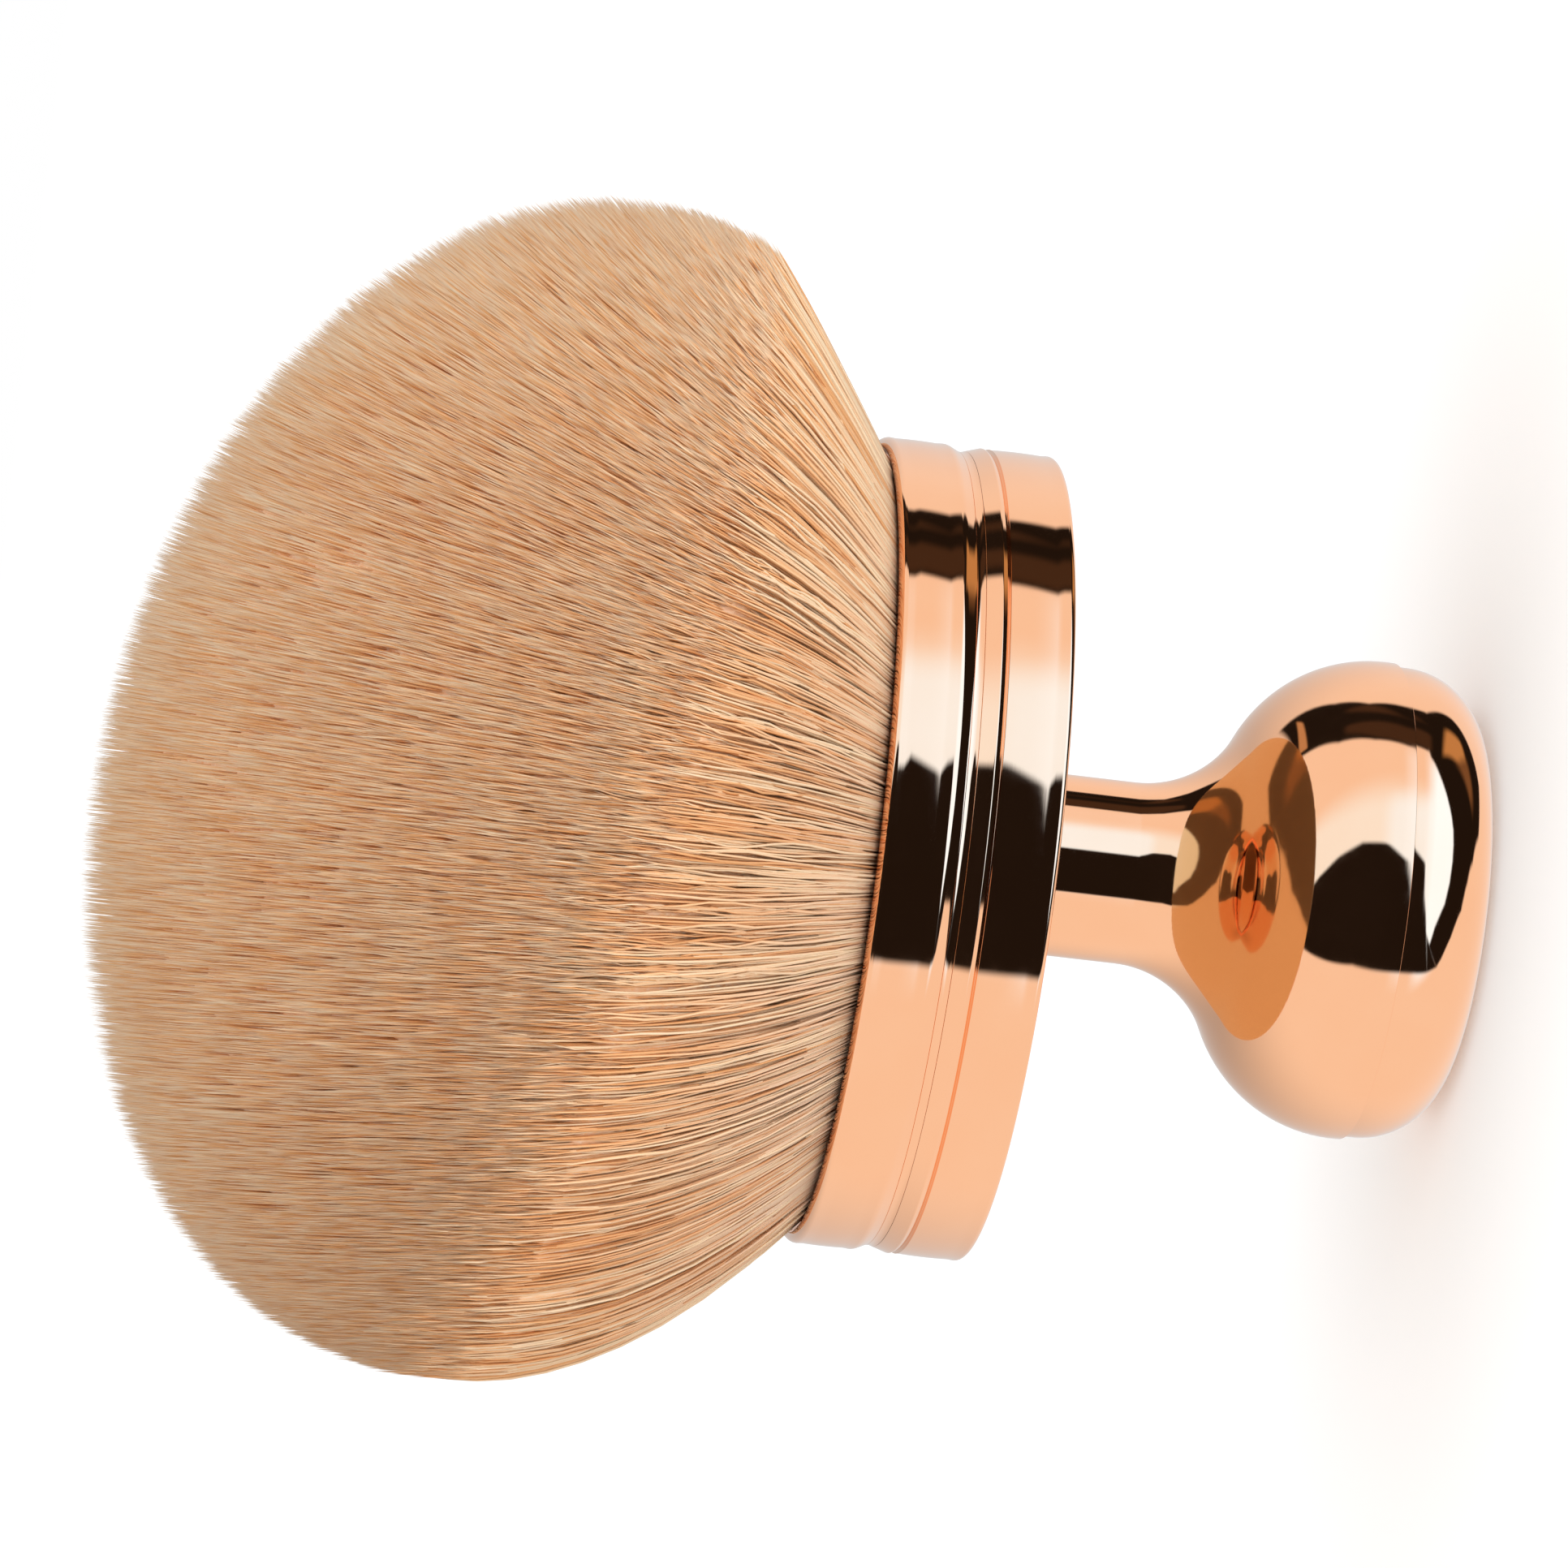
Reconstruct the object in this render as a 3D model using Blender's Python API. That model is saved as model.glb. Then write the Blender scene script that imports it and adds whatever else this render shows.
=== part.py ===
"""Dome-shaped powder brush on a mushroom handle.

The brush stands on the flat end of its knob at the origin, and +Z runs along its axis to the bristles.
Lengths are metres. A piece that fits in or seats on another takes its size from that piece and SEAT_GAP.
"""

import math

import bmesh
import bpy
from mathutils import Matrix, Vector

MM = 0.001

# Fits shared by several pieces
SEAT_GAP = 0.3 * MM
SEAM_GAP = 0.2 * MM
CUT_OVERRUN = 1.0 * MM
MERGE_DISTANCE = 0.004 * MM
OUTER_SIDES = 48
INNER_SIDES = 32
SMALL_SIDES = 24
SMOOTH_ANGLE = math.radians(32)

# Handle: the knob's widest circle, the arcs that shape it, and the stem
KNOB_RADIUS = 13.7 * MM
KNOB_WIDEST_HEIGHT = 5.7 * MM
KNOB_SHOULDER_RADIUS = 8.7 * MM
KNOB_WALL = 1.4 * MM
COVE_RADIUS = 6.3 * MM
STEM_RADIUS = 5.2 * MM
STEM_LENGTH = 7.2 * MM
SHOULDER_STEPS = 9
COVE_STEPS = 7

# Cap that closes the knob, with its step, its rounded edge and its spigot
CAP_HEIGHT = 5.15 * MM
CAP_STEP = 0.2 * MM
CAP_EDGE_RADIUS = 4.5 * MM
CAP_FLOOR = 1.6 * MM
CAP_SPIGOT_HEIGHT = 2.0 * MM
CAP_SPIGOT_WALL = 1.1 * MM
CAP_EDGE_STEPS = 6
SEAL_WIDTH = 0.6 * MM
WEIGHT_HEADROOM = 0.95 * MM
WEIGHT_CHAMFER = 0.5 * MM

# Screw that clamps the handle to the ferrule, with its nut and washers
SCREW_RADIUS = 2.5 * MM
SCREW_HEAD_RADIUS = 4.75 * MM
SCREW_HEAD_HEIGHT = 2.75 * MM
SCREW_HEAD_CROWN_SHARE = 0.6
SCREW_SOCKET_FLATS = 3.0 * MM
SCREW_SOCKET_DEPTH = 1.6 * MM
LOCK_WASHER_RADIUS = 4.4 * MM
LOCK_WASHER_HEIGHT = 1.2 * MM
LOCK_WASHER_SLIT = 0.8 * MM
FLAT_WASHER_RADIUS = 4.8 * MM
FLAT_WASHER_HEIGHT = 1.0 * MM
NUT_FLATS = 8.0 * MM
NUT_HEIGHT = 2.7 * MM

# Ferrule: two bands that slope to a shallow valley between them, a rounded back edge and a rolled lip
FERRULE_RADIUS = 23.0 * MM
FERRULE_WALL = 0.8 * MM
FERRULE_FLOOR = 1.0 * MM
STEM_RECESS_DEPTH = 0.4 * MM
BACK_EDGE_RADIUS = 1.2 * MM
BACK_EDGE_STEPS = 4
REAR_BAND_WIDTH = 3.55 * MM
REAR_SLOPE_WIDTH = 1.3 * MM
FRONT_BAND_WIDTH = 3.35 * MM
FRONT_SLOPE_WIDTH = 0.9 * MM
VALLEY_DEPTH = 0.38 * MM
SLOPE_STEPS = 4
SEAM_RING_HEIGHT = 0.3 * MM
SEAM_RING_SETBACK = 0.05 * MM
SPIGOT_WALL = 0.8 * MM
SPIGOT_LENGTH = 3.0 * MM
LIP_RADIUS = 0.75 * MM
LIP_STEPS = 5
MOUTH_EDGE_RADIUS = 0.15 * MM
MOUTH_EDGE_STEPS = 2
MOUTH_BEVEL_HEIGHT = 1.2 * MM
CORE_ROOF = 0.8 * MM
ADHESIVE_HEIGHT = 0.8 * MM

# Tuft: the slice of glued roots, and the dome that the bristles' tips lie on
ROOT_SLICE_HEIGHT = 1.4 * MM
STRANDS_ACROSS = 17
STRANDS_DEEP = 18
MOUTH_SPREAD = 1.0 * MM
MOUTH_RISE = 0.5 * MM
ROW_SWIRL = math.radians(32)
DOME_RADIUS = 33.9 * MM
DOME_HALF_HEIGHT = 24.2 * MM
DOME_CENTRE_RISE = 17.6 * MM
DOME_SHIFT = 1.0 * MM
DOME_LEAN = math.radians(9.5)
DOME_EDGE_ANGLE = math.radians(99)
STRAND_ROOT_SHARE = 0.74
STRAND_BELLY_SHARE = 0.72
STRAND_BELLY_PLACE_SHARE = 0.93
STRAND_BOW_SHARE = 0.45

# Heights and radii that follow from the sizes above, from the knob up to the bristles
CAP_RADIUS = KNOB_RADIUS - CAP_STEP
KNOB_BOTTOM = CAP_HEIGHT + SEAM_GAP
KNOB_HOLLOW_RADIUS = KNOB_RADIUS - KNOB_WALL
SEAL_HEIGHT = CAP_SPIGOT_HEIGHT - 2 * SEAT_GAP
KNOB_HOLLOW_TOP = CAP_HEIGHT + CAP_SPIGOT_HEIGHT + SEAT_GAP
WEIGHT_TOP = KNOB_HOLLOW_TOP - WEIGHT_HEADROOM
CAP_SPIGOT_RADIUS = KNOB_HOLLOW_RADIUS - SEAL_WIDTH - 2 * SEAT_GAP
SCREW_STACK = SCREW_HEAD_HEIGHT + LOCK_WASHER_HEIGHT + FLAT_WASHER_HEIGHT + 3 * SEAT_GAP
SCREW_SEAT = KNOB_HOLLOW_TOP + SCREW_STACK
SCREW_POCKET_RADIUS = max(SCREW_HEAD_RADIUS, FLAT_WASHER_RADIUS) + SEAT_GAP
SCREW_BORE_RADIUS = SCREW_RADIUS + SEAT_GAP
SHOULDER_CENTRE_RADIUS = KNOB_RADIUS - KNOB_SHOULDER_RADIUS
COVE_CENTRE_RADIUS = STEM_RADIUS + COVE_RADIUS
ARC_REACH = KNOB_SHOULDER_RADIUS + COVE_RADIUS
COVE_RISE = math.sqrt(ARC_REACH**2 - (COVE_CENTRE_RADIUS - SHOULDER_CENTRE_RADIUS) ** 2)
COVE_TOP = KNOB_WIDEST_HEIGHT + COVE_RISE
STEM_TOP = COVE_TOP + STEM_LENGTH
FERRULE_BACK = STEM_TOP + SEAT_GAP - STEM_RECESS_DEPTH
FERRULE_FLOOR_TOP = FERRULE_BACK + FERRULE_FLOOR
CUP_RADIUS = FERRULE_RADIUS - FERRULE_WALL
VALLEY_RADIUS = FERRULE_RADIUS - VALLEY_DEPTH
REAR_BAND_TOP = FERRULE_BACK + REAR_BAND_WIDTH
REAR_FERRULE_TOP = REAR_BAND_TOP + REAR_SLOPE_WIDTH
SEAM_RING_BOTTOM = REAR_FERRULE_TOP + SEAM_GAP
SEAM_RING_TOP = SEAM_RING_BOTTOM + SEAM_RING_HEIGHT
FRONT_SHOULDER = SEAM_RING_TOP + SEAM_GAP
FRONT_BAND_BOTTOM = FRONT_SHOULDER + FRONT_SLOPE_WIDTH
FERRULE_TOP = FRONT_BAND_BOTTOM + FRONT_BAND_WIDTH
SPIGOT_RADIUS = CUP_RADIUS - SEAT_GAP
SPIGOT_BORE_RADIUS = SPIGOT_RADIUS - SPIGOT_WALL
SPIGOT_BOTTOM = FRONT_SHOULDER - SPIGOT_LENGTH
CORE_BOTTOM = FERRULE_FLOOR_TOP + SEAT_GAP
NUT_POCKET_TOP = CORE_BOTTOM + NUT_HEIGHT + SEAT_GAP
CORE_TOP = NUT_POCKET_TOP + CORE_ROOF
ADHESIVE_BOTTOM = CORE_TOP + SEAT_GAP
ADHESIVE_TOP = ADHESIVE_BOTTOM + ADHESIVE_HEIGHT
ROOT_RADIUS = SPIGOT_BORE_RADIUS - SEAT_GAP
ROOT_BOTTOM = ADHESIVE_TOP + SEAT_GAP
ROOT_TOP = ROOT_BOTTOM + ROOT_SLICE_HEIGHT
DOME_CENTRE = Vector((DOME_SHIFT, 0, FERRULE_TOP + DOME_CENTRE_RISE))


def clear_scene():
    for old in list(bpy.data.objects):
        bpy.data.objects.remove(old)


def finish(name, colour, metallic, roughness):
    """A plain material with the piece's colour and shine."""
    made = bpy.data.materials.new(name)
    made.use_nodes = True
    shader = made.node_tree.nodes["Principled BSDF"]
    shader.inputs["Base Color"].default_value = (*colour, 1)
    shader.inputs["Metallic"].default_value = metallic
    shader.inputs["Roughness"].default_value = roughness
    return made


def place_mesh(name, bm, material):
    """Turns a bmesh into a named object whose round faces are smooth and whose corners are sharp."""
    mesh = bpy.data.meshes.new(name)
    bmesh.ops.recalc_face_normals(bm, faces=bm.faces)
    bm.to_mesh(mesh)
    bm.free()
    mesh.materials.append(material)
    mesh.shade_smooth()
    mesh.set_sharp_from_angle(angle=SMOOTH_ANGLE)
    made = bpy.data.objects.new(name, mesh)
    bpy.context.collection.objects.link(made)
    return made


def arc(centre_radius, centre_height, radius, start, end, steps):
    """Points of an arc in the radius and height plane, from one angle in degrees to another."""
    points = []
    for step in range(steps + 1):
        angle = math.radians(start + (end - start) * step / steps)
        points.append((centre_radius + radius * math.cos(angle), centre_height + radius * math.sin(angle)))
    return points


def turned(name, outline, material, sides=OUTER_SIDES, closed=True):
    """Spins an outline of radius and height about the axis. An open outline starts and ends on the axis."""
    bm = bmesh.new()
    verts = [bm.verts.new((radius, 0, height)) for radius, height in outline]
    pairs = list(zip(verts, verts[1:]))
    if closed:
        pairs.append((verts[-1], verts[0]))
    edges = [bm.edges.new(pair) for pair in pairs]
    bmesh.ops.spin(
        bm,
        geom=verts + edges,
        cent=(0, 0, 0),
        axis=(0, 0, 1),
        angle=math.tau,
        steps=sides,
        use_merge=True,
    )
    bmesh.ops.remove_doubles(bm, verts=bm.verts, dist=MERGE_DISTANCE)
    return place_mesh(name, bm, material)


def hexagon_prism(name, flats, bottom, top, material):
    bm = bmesh.new()
    corner = flats / 2 / math.cos(math.radians(30))
    bmesh.ops.create_cone(
        bm,
        cap_ends=True,
        segments=6,
        radius1=corner,
        radius2=corner,
        depth=top - bottom,
        matrix=Matrix.Translation((0, 0, (top + bottom) / 2)),
    )
    return place_mesh(name, bm, material)


def block(name, low, high, material):
    bm = bmesh.new()
    size = [b - a for a, b in zip(low, high)]
    middle = [(a + b) / 2 for a, b in zip(low, high)]
    bmesh.ops.create_cube(bm, size=1, matrix=Matrix.Translation(middle) @ Matrix.Diagonal((*size, 1)))
    return place_mesh(name, bm, material)


def cut(target, cutter):
    """Takes the cutter's shape out of the target, and keeps the cutter as a hidden wire guide."""
    cutter.hide_render = True
    cutter.display_type = "WIRE"
    boolean = target.modifiers.new(cutter.name, "BOOLEAN")
    boolean.operation = "DIFFERENCE"
    boolean.object = cutter


def make_end_cap(material):
    edge_centre = CAP_RADIUS - CAP_EDGE_RADIUS
    bore = CAP_SPIGOT_RADIUS - CAP_SPIGOT_WALL
    spigot_top = CAP_HEIGHT + CAP_SPIGOT_HEIGHT
    outline = [(0, 0)]
    outline += arc(edge_centre, CAP_EDGE_RADIUS, CAP_EDGE_RADIUS, -90, 0, CAP_EDGE_STEPS)
    outline += [(CAP_RADIUS, CAP_HEIGHT), (CAP_SPIGOT_RADIUS, CAP_HEIGHT)]
    outline += [(CAP_SPIGOT_RADIUS, spigot_top), (bore, spigot_top), (bore, CAP_FLOOR), (0, CAP_FLOOR)]
    return turned("end_cap", outline, material, closed=False)


def make_cap_seal(material):
    inner = CAP_SPIGOT_RADIUS + SEAT_GAP
    bottom = CAP_HEIGHT + SEAT_GAP
    outline = [(inner, bottom), (inner + SEAL_WIDTH, bottom)]
    outline += [(inner + SEAL_WIDTH, bottom + SEAL_HEIGHT), (inner, bottom + SEAL_HEIGHT)]
    return turned("cap_seal_ring", outline, material)


def make_weight(material):
    radius = CAP_SPIGOT_RADIUS - CAP_SPIGOT_WALL - SEAT_GAP
    bottom = CAP_FLOOR + SEAT_GAP
    shy = radius - WEIGHT_CHAMFER
    outline = [(0, bottom), (shy, bottom), (radius, bottom + WEIGHT_CHAMFER)]
    outline += [(radius, WEIGHT_TOP - WEIGHT_CHAMFER), (shy, WEIGHT_TOP), (0, WEIGHT_TOP)]
    return turned("knob_weight", outline, material, sides=INNER_SIDES, closed=False)


def make_handle(material):
    """Knob, cove and stem in one turned piece. The shoulder's arc runs into the cove's where both touch."""
    meeting = math.degrees(math.atan2(COVE_RISE, COVE_CENTRE_RADIUS - SHOULDER_CENTRE_RADIUS))
    start = math.degrees(math.asin((KNOB_BOTTOM - KNOB_WIDEST_HEIGHT) / KNOB_SHOULDER_RADIUS))
    shoulder = (SHOULDER_CENTRE_RADIUS, KNOB_WIDEST_HEIGHT, KNOB_SHOULDER_RADIUS)
    outline = arc(*shoulder, start, meeting, SHOULDER_STEPS)
    outline += arc(COVE_CENTRE_RADIUS, COVE_TOP, COVE_RADIUS, 180 + meeting, 180, COVE_STEPS)[1:]
    outline += [(STEM_RADIUS, STEM_TOP), (SCREW_BORE_RADIUS, STEM_TOP), (SCREW_BORE_RADIUS, SCREW_SEAT)]
    outline += [(SCREW_POCKET_RADIUS, SCREW_SEAT), (SCREW_POCKET_RADIUS, KNOB_HOLLOW_TOP)]
    outline += [(KNOB_HOLLOW_RADIUS, KNOB_HOLLOW_TOP), (KNOB_HOLLOW_RADIUS, KNOB_BOTTOM)]
    return turned("handle_body", outline, material)


def make_flat_washer(material):
    top = SCREW_SEAT - SEAT_GAP
    bottom = top - FLAT_WASHER_HEIGHT
    outline = [(SCREW_BORE_RADIUS, bottom), (FLAT_WASHER_RADIUS, bottom)]
    outline += [(FLAT_WASHER_RADIUS, top), (SCREW_BORE_RADIUS, top)]
    return turned("flat_washer", outline, material, sides=SMALL_SIDES)


def make_lock_washer(material):
    """A split ring: the slit is what makes it springy."""
    top = SCREW_SEAT - SEAT_GAP - FLAT_WASHER_HEIGHT - SEAT_GAP
    bottom = top - LOCK_WASHER_HEIGHT
    outline = [(SCREW_BORE_RADIUS, bottom), (LOCK_WASHER_RADIUS, bottom)]
    outline += [(LOCK_WASHER_RADIUS, top), (SCREW_BORE_RADIUS, top)]
    washer = turned("lock_washer", outline, material, sides=SMALL_SIDES)
    low = (0, -LOCK_WASHER_SLIT / 2, bottom - CUT_OVERRUN)
    high = (LOCK_WASHER_RADIUS + CUT_OVERRUN, LOCK_WASHER_SLIT / 2, top + CUT_OVERRUN)
    cut(washer, block("lock_washer_slit", low, high, material))
    return washer


def make_screw(material):
    """A crowned head with a hexagonal socket, and a shank that ends just under the nut pocket's roof."""
    bottom = KNOB_HOLLOW_TOP
    head_top = bottom + SCREW_HEAD_HEIGHT
    tip = NUT_POCKET_TOP - SEAT_GAP
    crown = SCREW_HEAD_HEIGHT * SCREW_HEAD_CROWN_SHARE
    crown_edge = bottom + crown
    face_radius = SCREW_HEAD_RADIUS * SCREW_HEAD_CROWN_SHARE
    outline = [(0, bottom), (face_radius, bottom), (SCREW_HEAD_RADIUS, crown_edge)]
    outline += [(SCREW_HEAD_RADIUS, head_top), (SCREW_RADIUS, head_top), (SCREW_RADIUS, tip), (0, tip)]
    screw = turned("tie_screw", outline, material, sides=SMALL_SIDES, closed=False)
    socket_top = bottom + SCREW_SOCKET_DEPTH
    socket_bottom = bottom - CUT_OVERRUN
    cut(screw, hexagon_prism("screw_socket", SCREW_SOCKET_FLATS, socket_bottom, socket_top, material))
    return screw


def make_nut(material):
    bottom = CORE_BOTTOM
    top = bottom + NUT_HEIGHT
    nut = hexagon_prism("hex_nut", NUT_FLATS, bottom, top, material)
    outline = [(0, bottom - CUT_OVERRUN), (SCREW_BORE_RADIUS, bottom - CUT_OVERRUN)]
    outline += [(SCREW_BORE_RADIUS, top + CUT_OVERRUN), (0, top + CUT_OVERRUN)]
    cut(nut, turned("nut_bore", outline, material, sides=SMALL_SIDES, closed=False))
    return nut


def make_core(material):
    """Fills the rear cup: a wide foot under the front ferrule's spigot, and a drum inside the spigot."""
    foot_top = SPIGOT_BOTTOM - SEAT_GAP
    foot_radius = CUP_RADIUS - SEAT_GAP
    outline = [(0, CORE_BOTTOM), (foot_radius, CORE_BOTTOM), (foot_radius, foot_top)]
    outline += [(ROOT_RADIUS, foot_top), (ROOT_RADIUS, CORE_TOP), (0, CORE_TOP)]
    core = turned("ferrule_core", outline, material, sides=INNER_SIDES, closed=False)
    pocket_flats = NUT_FLATS + 2 * SEAT_GAP
    pocket_bottom = CORE_BOTTOM - CUT_OVERRUN
    cut(core, hexagon_prism("nut_pocket", pocket_flats, pocket_bottom, NUT_POCKET_TOP, material))
    return core


def make_adhesive(material):
    outline = [(0, ADHESIVE_BOTTOM), (ROOT_RADIUS, ADHESIVE_BOTTOM)]
    outline += [(ROOT_RADIUS, ADHESIVE_TOP), (0, ADHESIVE_TOP)]
    return turned("root_adhesive", outline, material, sides=INNER_SIDES, closed=False)


def valley_slope(band_edge, width, direction):
    """A band's rounded slope: it leaves the band smoothly at its edge and ends in the valley."""
    radius = (width**2 + VALLEY_DEPTH**2) / (2 * VALLEY_DEPTH)
    turn = math.degrees(math.asin(width / radius))
    return arc(FERRULE_RADIUS - radius, band_edge, radius, 0, direction * turn, SLOPE_STEPS)


def make_rear_ferrule(material):
    """A cup. A shallow recess in its flat back centres the end of the stem."""
    edge_centre = FERRULE_RADIUS - BACK_EDGE_RADIUS
    recess_radius = STEM_RADIUS + SEAT_GAP
    recess_roof = FERRULE_BACK + STEM_RECESS_DEPTH
    outline = [(SCREW_BORE_RADIUS, recess_roof), (recess_radius, recess_roof), (recess_radius, FERRULE_BACK)]
    outline += arc(edge_centre, FERRULE_BACK + BACK_EDGE_RADIUS, BACK_EDGE_RADIUS, -90, 0, BACK_EDGE_STEPS)
    outline += valley_slope(REAR_BAND_TOP, REAR_SLOPE_WIDTH, 1)
    outline += [(CUP_RADIUS, REAR_FERRULE_TOP), (CUP_RADIUS, FERRULE_FLOOR_TOP)]
    outline += [(SCREW_BORE_RADIUS, FERRULE_FLOOR_TOP)]
    return turned("rear_ferrule", outline, material)


def make_seam_ring(material):
    outer = VALLEY_RADIUS - SEAM_RING_SETBACK
    outline = [(CUP_RADIUS, SEAM_RING_BOTTOM), (outer, SEAM_RING_BOTTOM)]
    outline += [(outer, SEAM_RING_TOP), (CUP_RADIUS, SEAM_RING_TOP)]
    return turned("seam_ring", outline, material)


def make_front_ferrule(material):
    """The front band, its rolled lip, the bevel inside its mouth and the spigot that the rear cup takes."""
    lip_centre = FERRULE_RADIUS - LIP_RADIUS
    inner_edge = FERRULE_TOP - MOUTH_EDGE_RADIUS
    outline = [(SPIGOT_BORE_RADIUS, SPIGOT_BOTTOM), (SPIGOT_RADIUS, SPIGOT_BOTTOM)]
    outline += [(SPIGOT_RADIUS, FRONT_SHOULDER)]
    outline += reversed(valley_slope(FRONT_BAND_BOTTOM, FRONT_SLOPE_WIDTH, -1))
    outline += arc(lip_centre, FERRULE_TOP - LIP_RADIUS, LIP_RADIUS, 0, 90, LIP_STEPS)
    outline += arc(lip_centre, inner_edge, MOUTH_EDGE_RADIUS, 90, 180, MOUTH_EDGE_STEPS)[1:]
    outline += [(SPIGOT_BORE_RADIUS, inner_edge - MOUTH_BEVEL_HEIGHT)]
    return turned("front_ferrule", outline, material)


def on_disc(across, deep):
    """Carries a point of a square, from -1 to 1 each way, to a disc, so that cells keep equal areas.

    The rows swirl about the axis, so that no straight lane runs through the tuft.
    """
    if across == 0 and deep == 0:
        return 0.0, 0.0
    if abs(across) >= abs(deep):
        radius = across
        angle = math.pi / 4 * deep / across
    else:
        radius = deep
        angle = math.pi / 2 - math.pi / 4 * across / deep
    angle += ROW_SWIRL * abs(radius)
    return radius * math.cos(angle), radius * math.sin(angle)


class Strand:
    """One bristle's path from the slice of roots to its tip on the leaning dome."""

    def __init__(self, root, outermost):
        self.root = Vector((root.x, root.y, ROOT_TOP))
        self.outermost = outermost
        flat = Vector((root.x, root.y, 0))
        self.share = flat.length / outermost
        self.outward = flat.normalized()
        rise = FERRULE_TOP + MOUTH_RISE
        self.mouth = self.outward * (flat.length + MOUTH_SPREAD * self.share) + Vector((0, 0, rise))
        angle = DOME_EDGE_ANGLE * self.share
        reach = self.outward * DOME_RADIUS * math.sin(angle)
        tip = reach + Vector((0, 0, DOME_HALF_HEIGHT * math.cos(angle)))
        self.tip = DOME_CENTRE + Matrix.Rotation(DOME_LEAN, 3, "Y") @ tip

    def point(self, place):
        """The path above the mouth, from 0 there to 1 at the tip, bowed outwards."""
        run = self.tip - self.mouth
        sideways = Vector((run.x, run.y, 0))
        return self.mouth + run * place + sideways * STRAND_BOW_SHARE * place * (1 - place)

    def frame(self, place):
        """Outward and sideways directions square to the path at a place on it."""
        run = self.tip - self.mouth
        sideways = Vector((run.x, run.y, 0))
        along = (run + sideways * STRAND_BOW_SHARE * (1 - 2 * place)).normalized()
        outward = (self.outward - along * self.outward.dot(along)).normalized()
        return outward, along.cross(outward)

    def spread(self, place):
        """How far the fan has opened at a place, outward and sideways, from the cell at the root."""
        step = self.outermost / STRANDS_DEEP
        opened = []
        for axis, direction in zip(self.frame(place), upright(self)):
            beyond = Strand(self.root + direction * step / 2, self.outermost)
            before = Strand(self.root - direction * step / 2, self.outermost)
            opened.append(abs((beyond.point(place) - before.point(place)).dot(axis)) / step)
        return opened


def upright(strand):
    """Outward and sideways directions at the root, where the strand stands straight."""
    return strand.outward, Vector((0, 0, 1)).cross(strand.outward)


def root_grid(bm):
    """The top of the slice: a grid of cells on a disc, one for each strand."""
    bmesh.ops.create_grid(bm, x_segments=STRANDS_ACROSS, y_segments=STRANDS_DEEP, size=1)
    for vert in bm.verts:
        across, deep = on_disc(vert.co.x, vert.co.y)
        vert.co = (across * ROOT_RADIUS, deep * ROOT_RADIUS, ROOT_TOP)
    return list(bm.faces)


def close_slice(bm):
    """Extrudes the grid's rim down by the slice's height and closes its underside."""
    rim = [edge for edge in bm.edges if edge.is_boundary]
    grown = bmesh.ops.extrude_edge_only(bm, edges=rim)["geom"]
    lower = [item for item in grown if isinstance(item, bmesh.types.BMVert)]
    bmesh.ops.translate(bm, verts=lower, vec=(0, 0, -ROOT_SLICE_HEIGHT))
    under = [edge for edge in bm.edges if edge.is_boundary]
    bmesh.ops.contextual_create(bm, geom=under)


def shape_section(face, old_centre, old_axes, new_centre, new_axes, scales):
    """Moves a strand's section from one place on its path to the next, and scales it each way."""
    for vert in face.verts:
        offset = vert.co - old_centre
        outward = offset.dot(old_axes[0]) * scales[0]
        sideways = offset.dot(old_axes[1]) * scales[1]
        vert.co = new_centre + new_axes[0] * outward + new_axes[1] * sideways


def make_tuft(material):
    bm = bmesh.new()
    number = bm.faces.layers.int.new("strand")
    cells = root_grid(bm)
    close_slice(bm)
    centres = [cell.calc_center_median() for cell in cells]
    outermost = max(Vector((centre.x, centre.y)).length for centre in centres)
    strands = [Strand(centre, outermost) for centre in centres]
    for index, cell in enumerate(cells):
        cell[number] = index

    bmesh.ops.inset_individual(bm, faces=cells, thickness=SEAT_GAP)
    for cell, strand in zip(cells, strands):
        for vert in cell.verts:
            others = [edge.other_vert(vert) for edge in vert.link_edges]
            corner = next(other for other in others if other not in cell.verts)
            vert.co = strand.root + (corner.co - strand.root) * STRAND_ROOT_SHARE

    lifted = bmesh.ops.extrude_discrete_faces(bm, faces=cells)["faces"]
    for face in lifted:
        strand = strands[face[number]]
        shape_section(face, strand.root, upright(strand), strand.mouth, strand.frame(0), strand.spread(0))

    lifted = bmesh.ops.extrude_discrete_faces(bm, faces=lifted)["faces"]
    for face in lifted:
        strand = strands[face[number]]
        place = STRAND_BELLY_PLACE_SHARE
        fuller = STRAND_BELLY_SHARE / STRAND_ROOT_SHARE
        scales = [late / early * fuller for early, late in zip(strand.spread(0), strand.spread(place))]
        shape_section(face, strand.mouth, strand.frame(0), strand.point(place), strand.frame(place), scales)

    peaks = bmesh.ops.poke(bm, faces=lifted)["verts"]
    for peak in peaks:
        peak.co = strands[peak.link_faces[0][number]].tip
    return place_mesh("bristle_tuft", bm, material)


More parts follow.
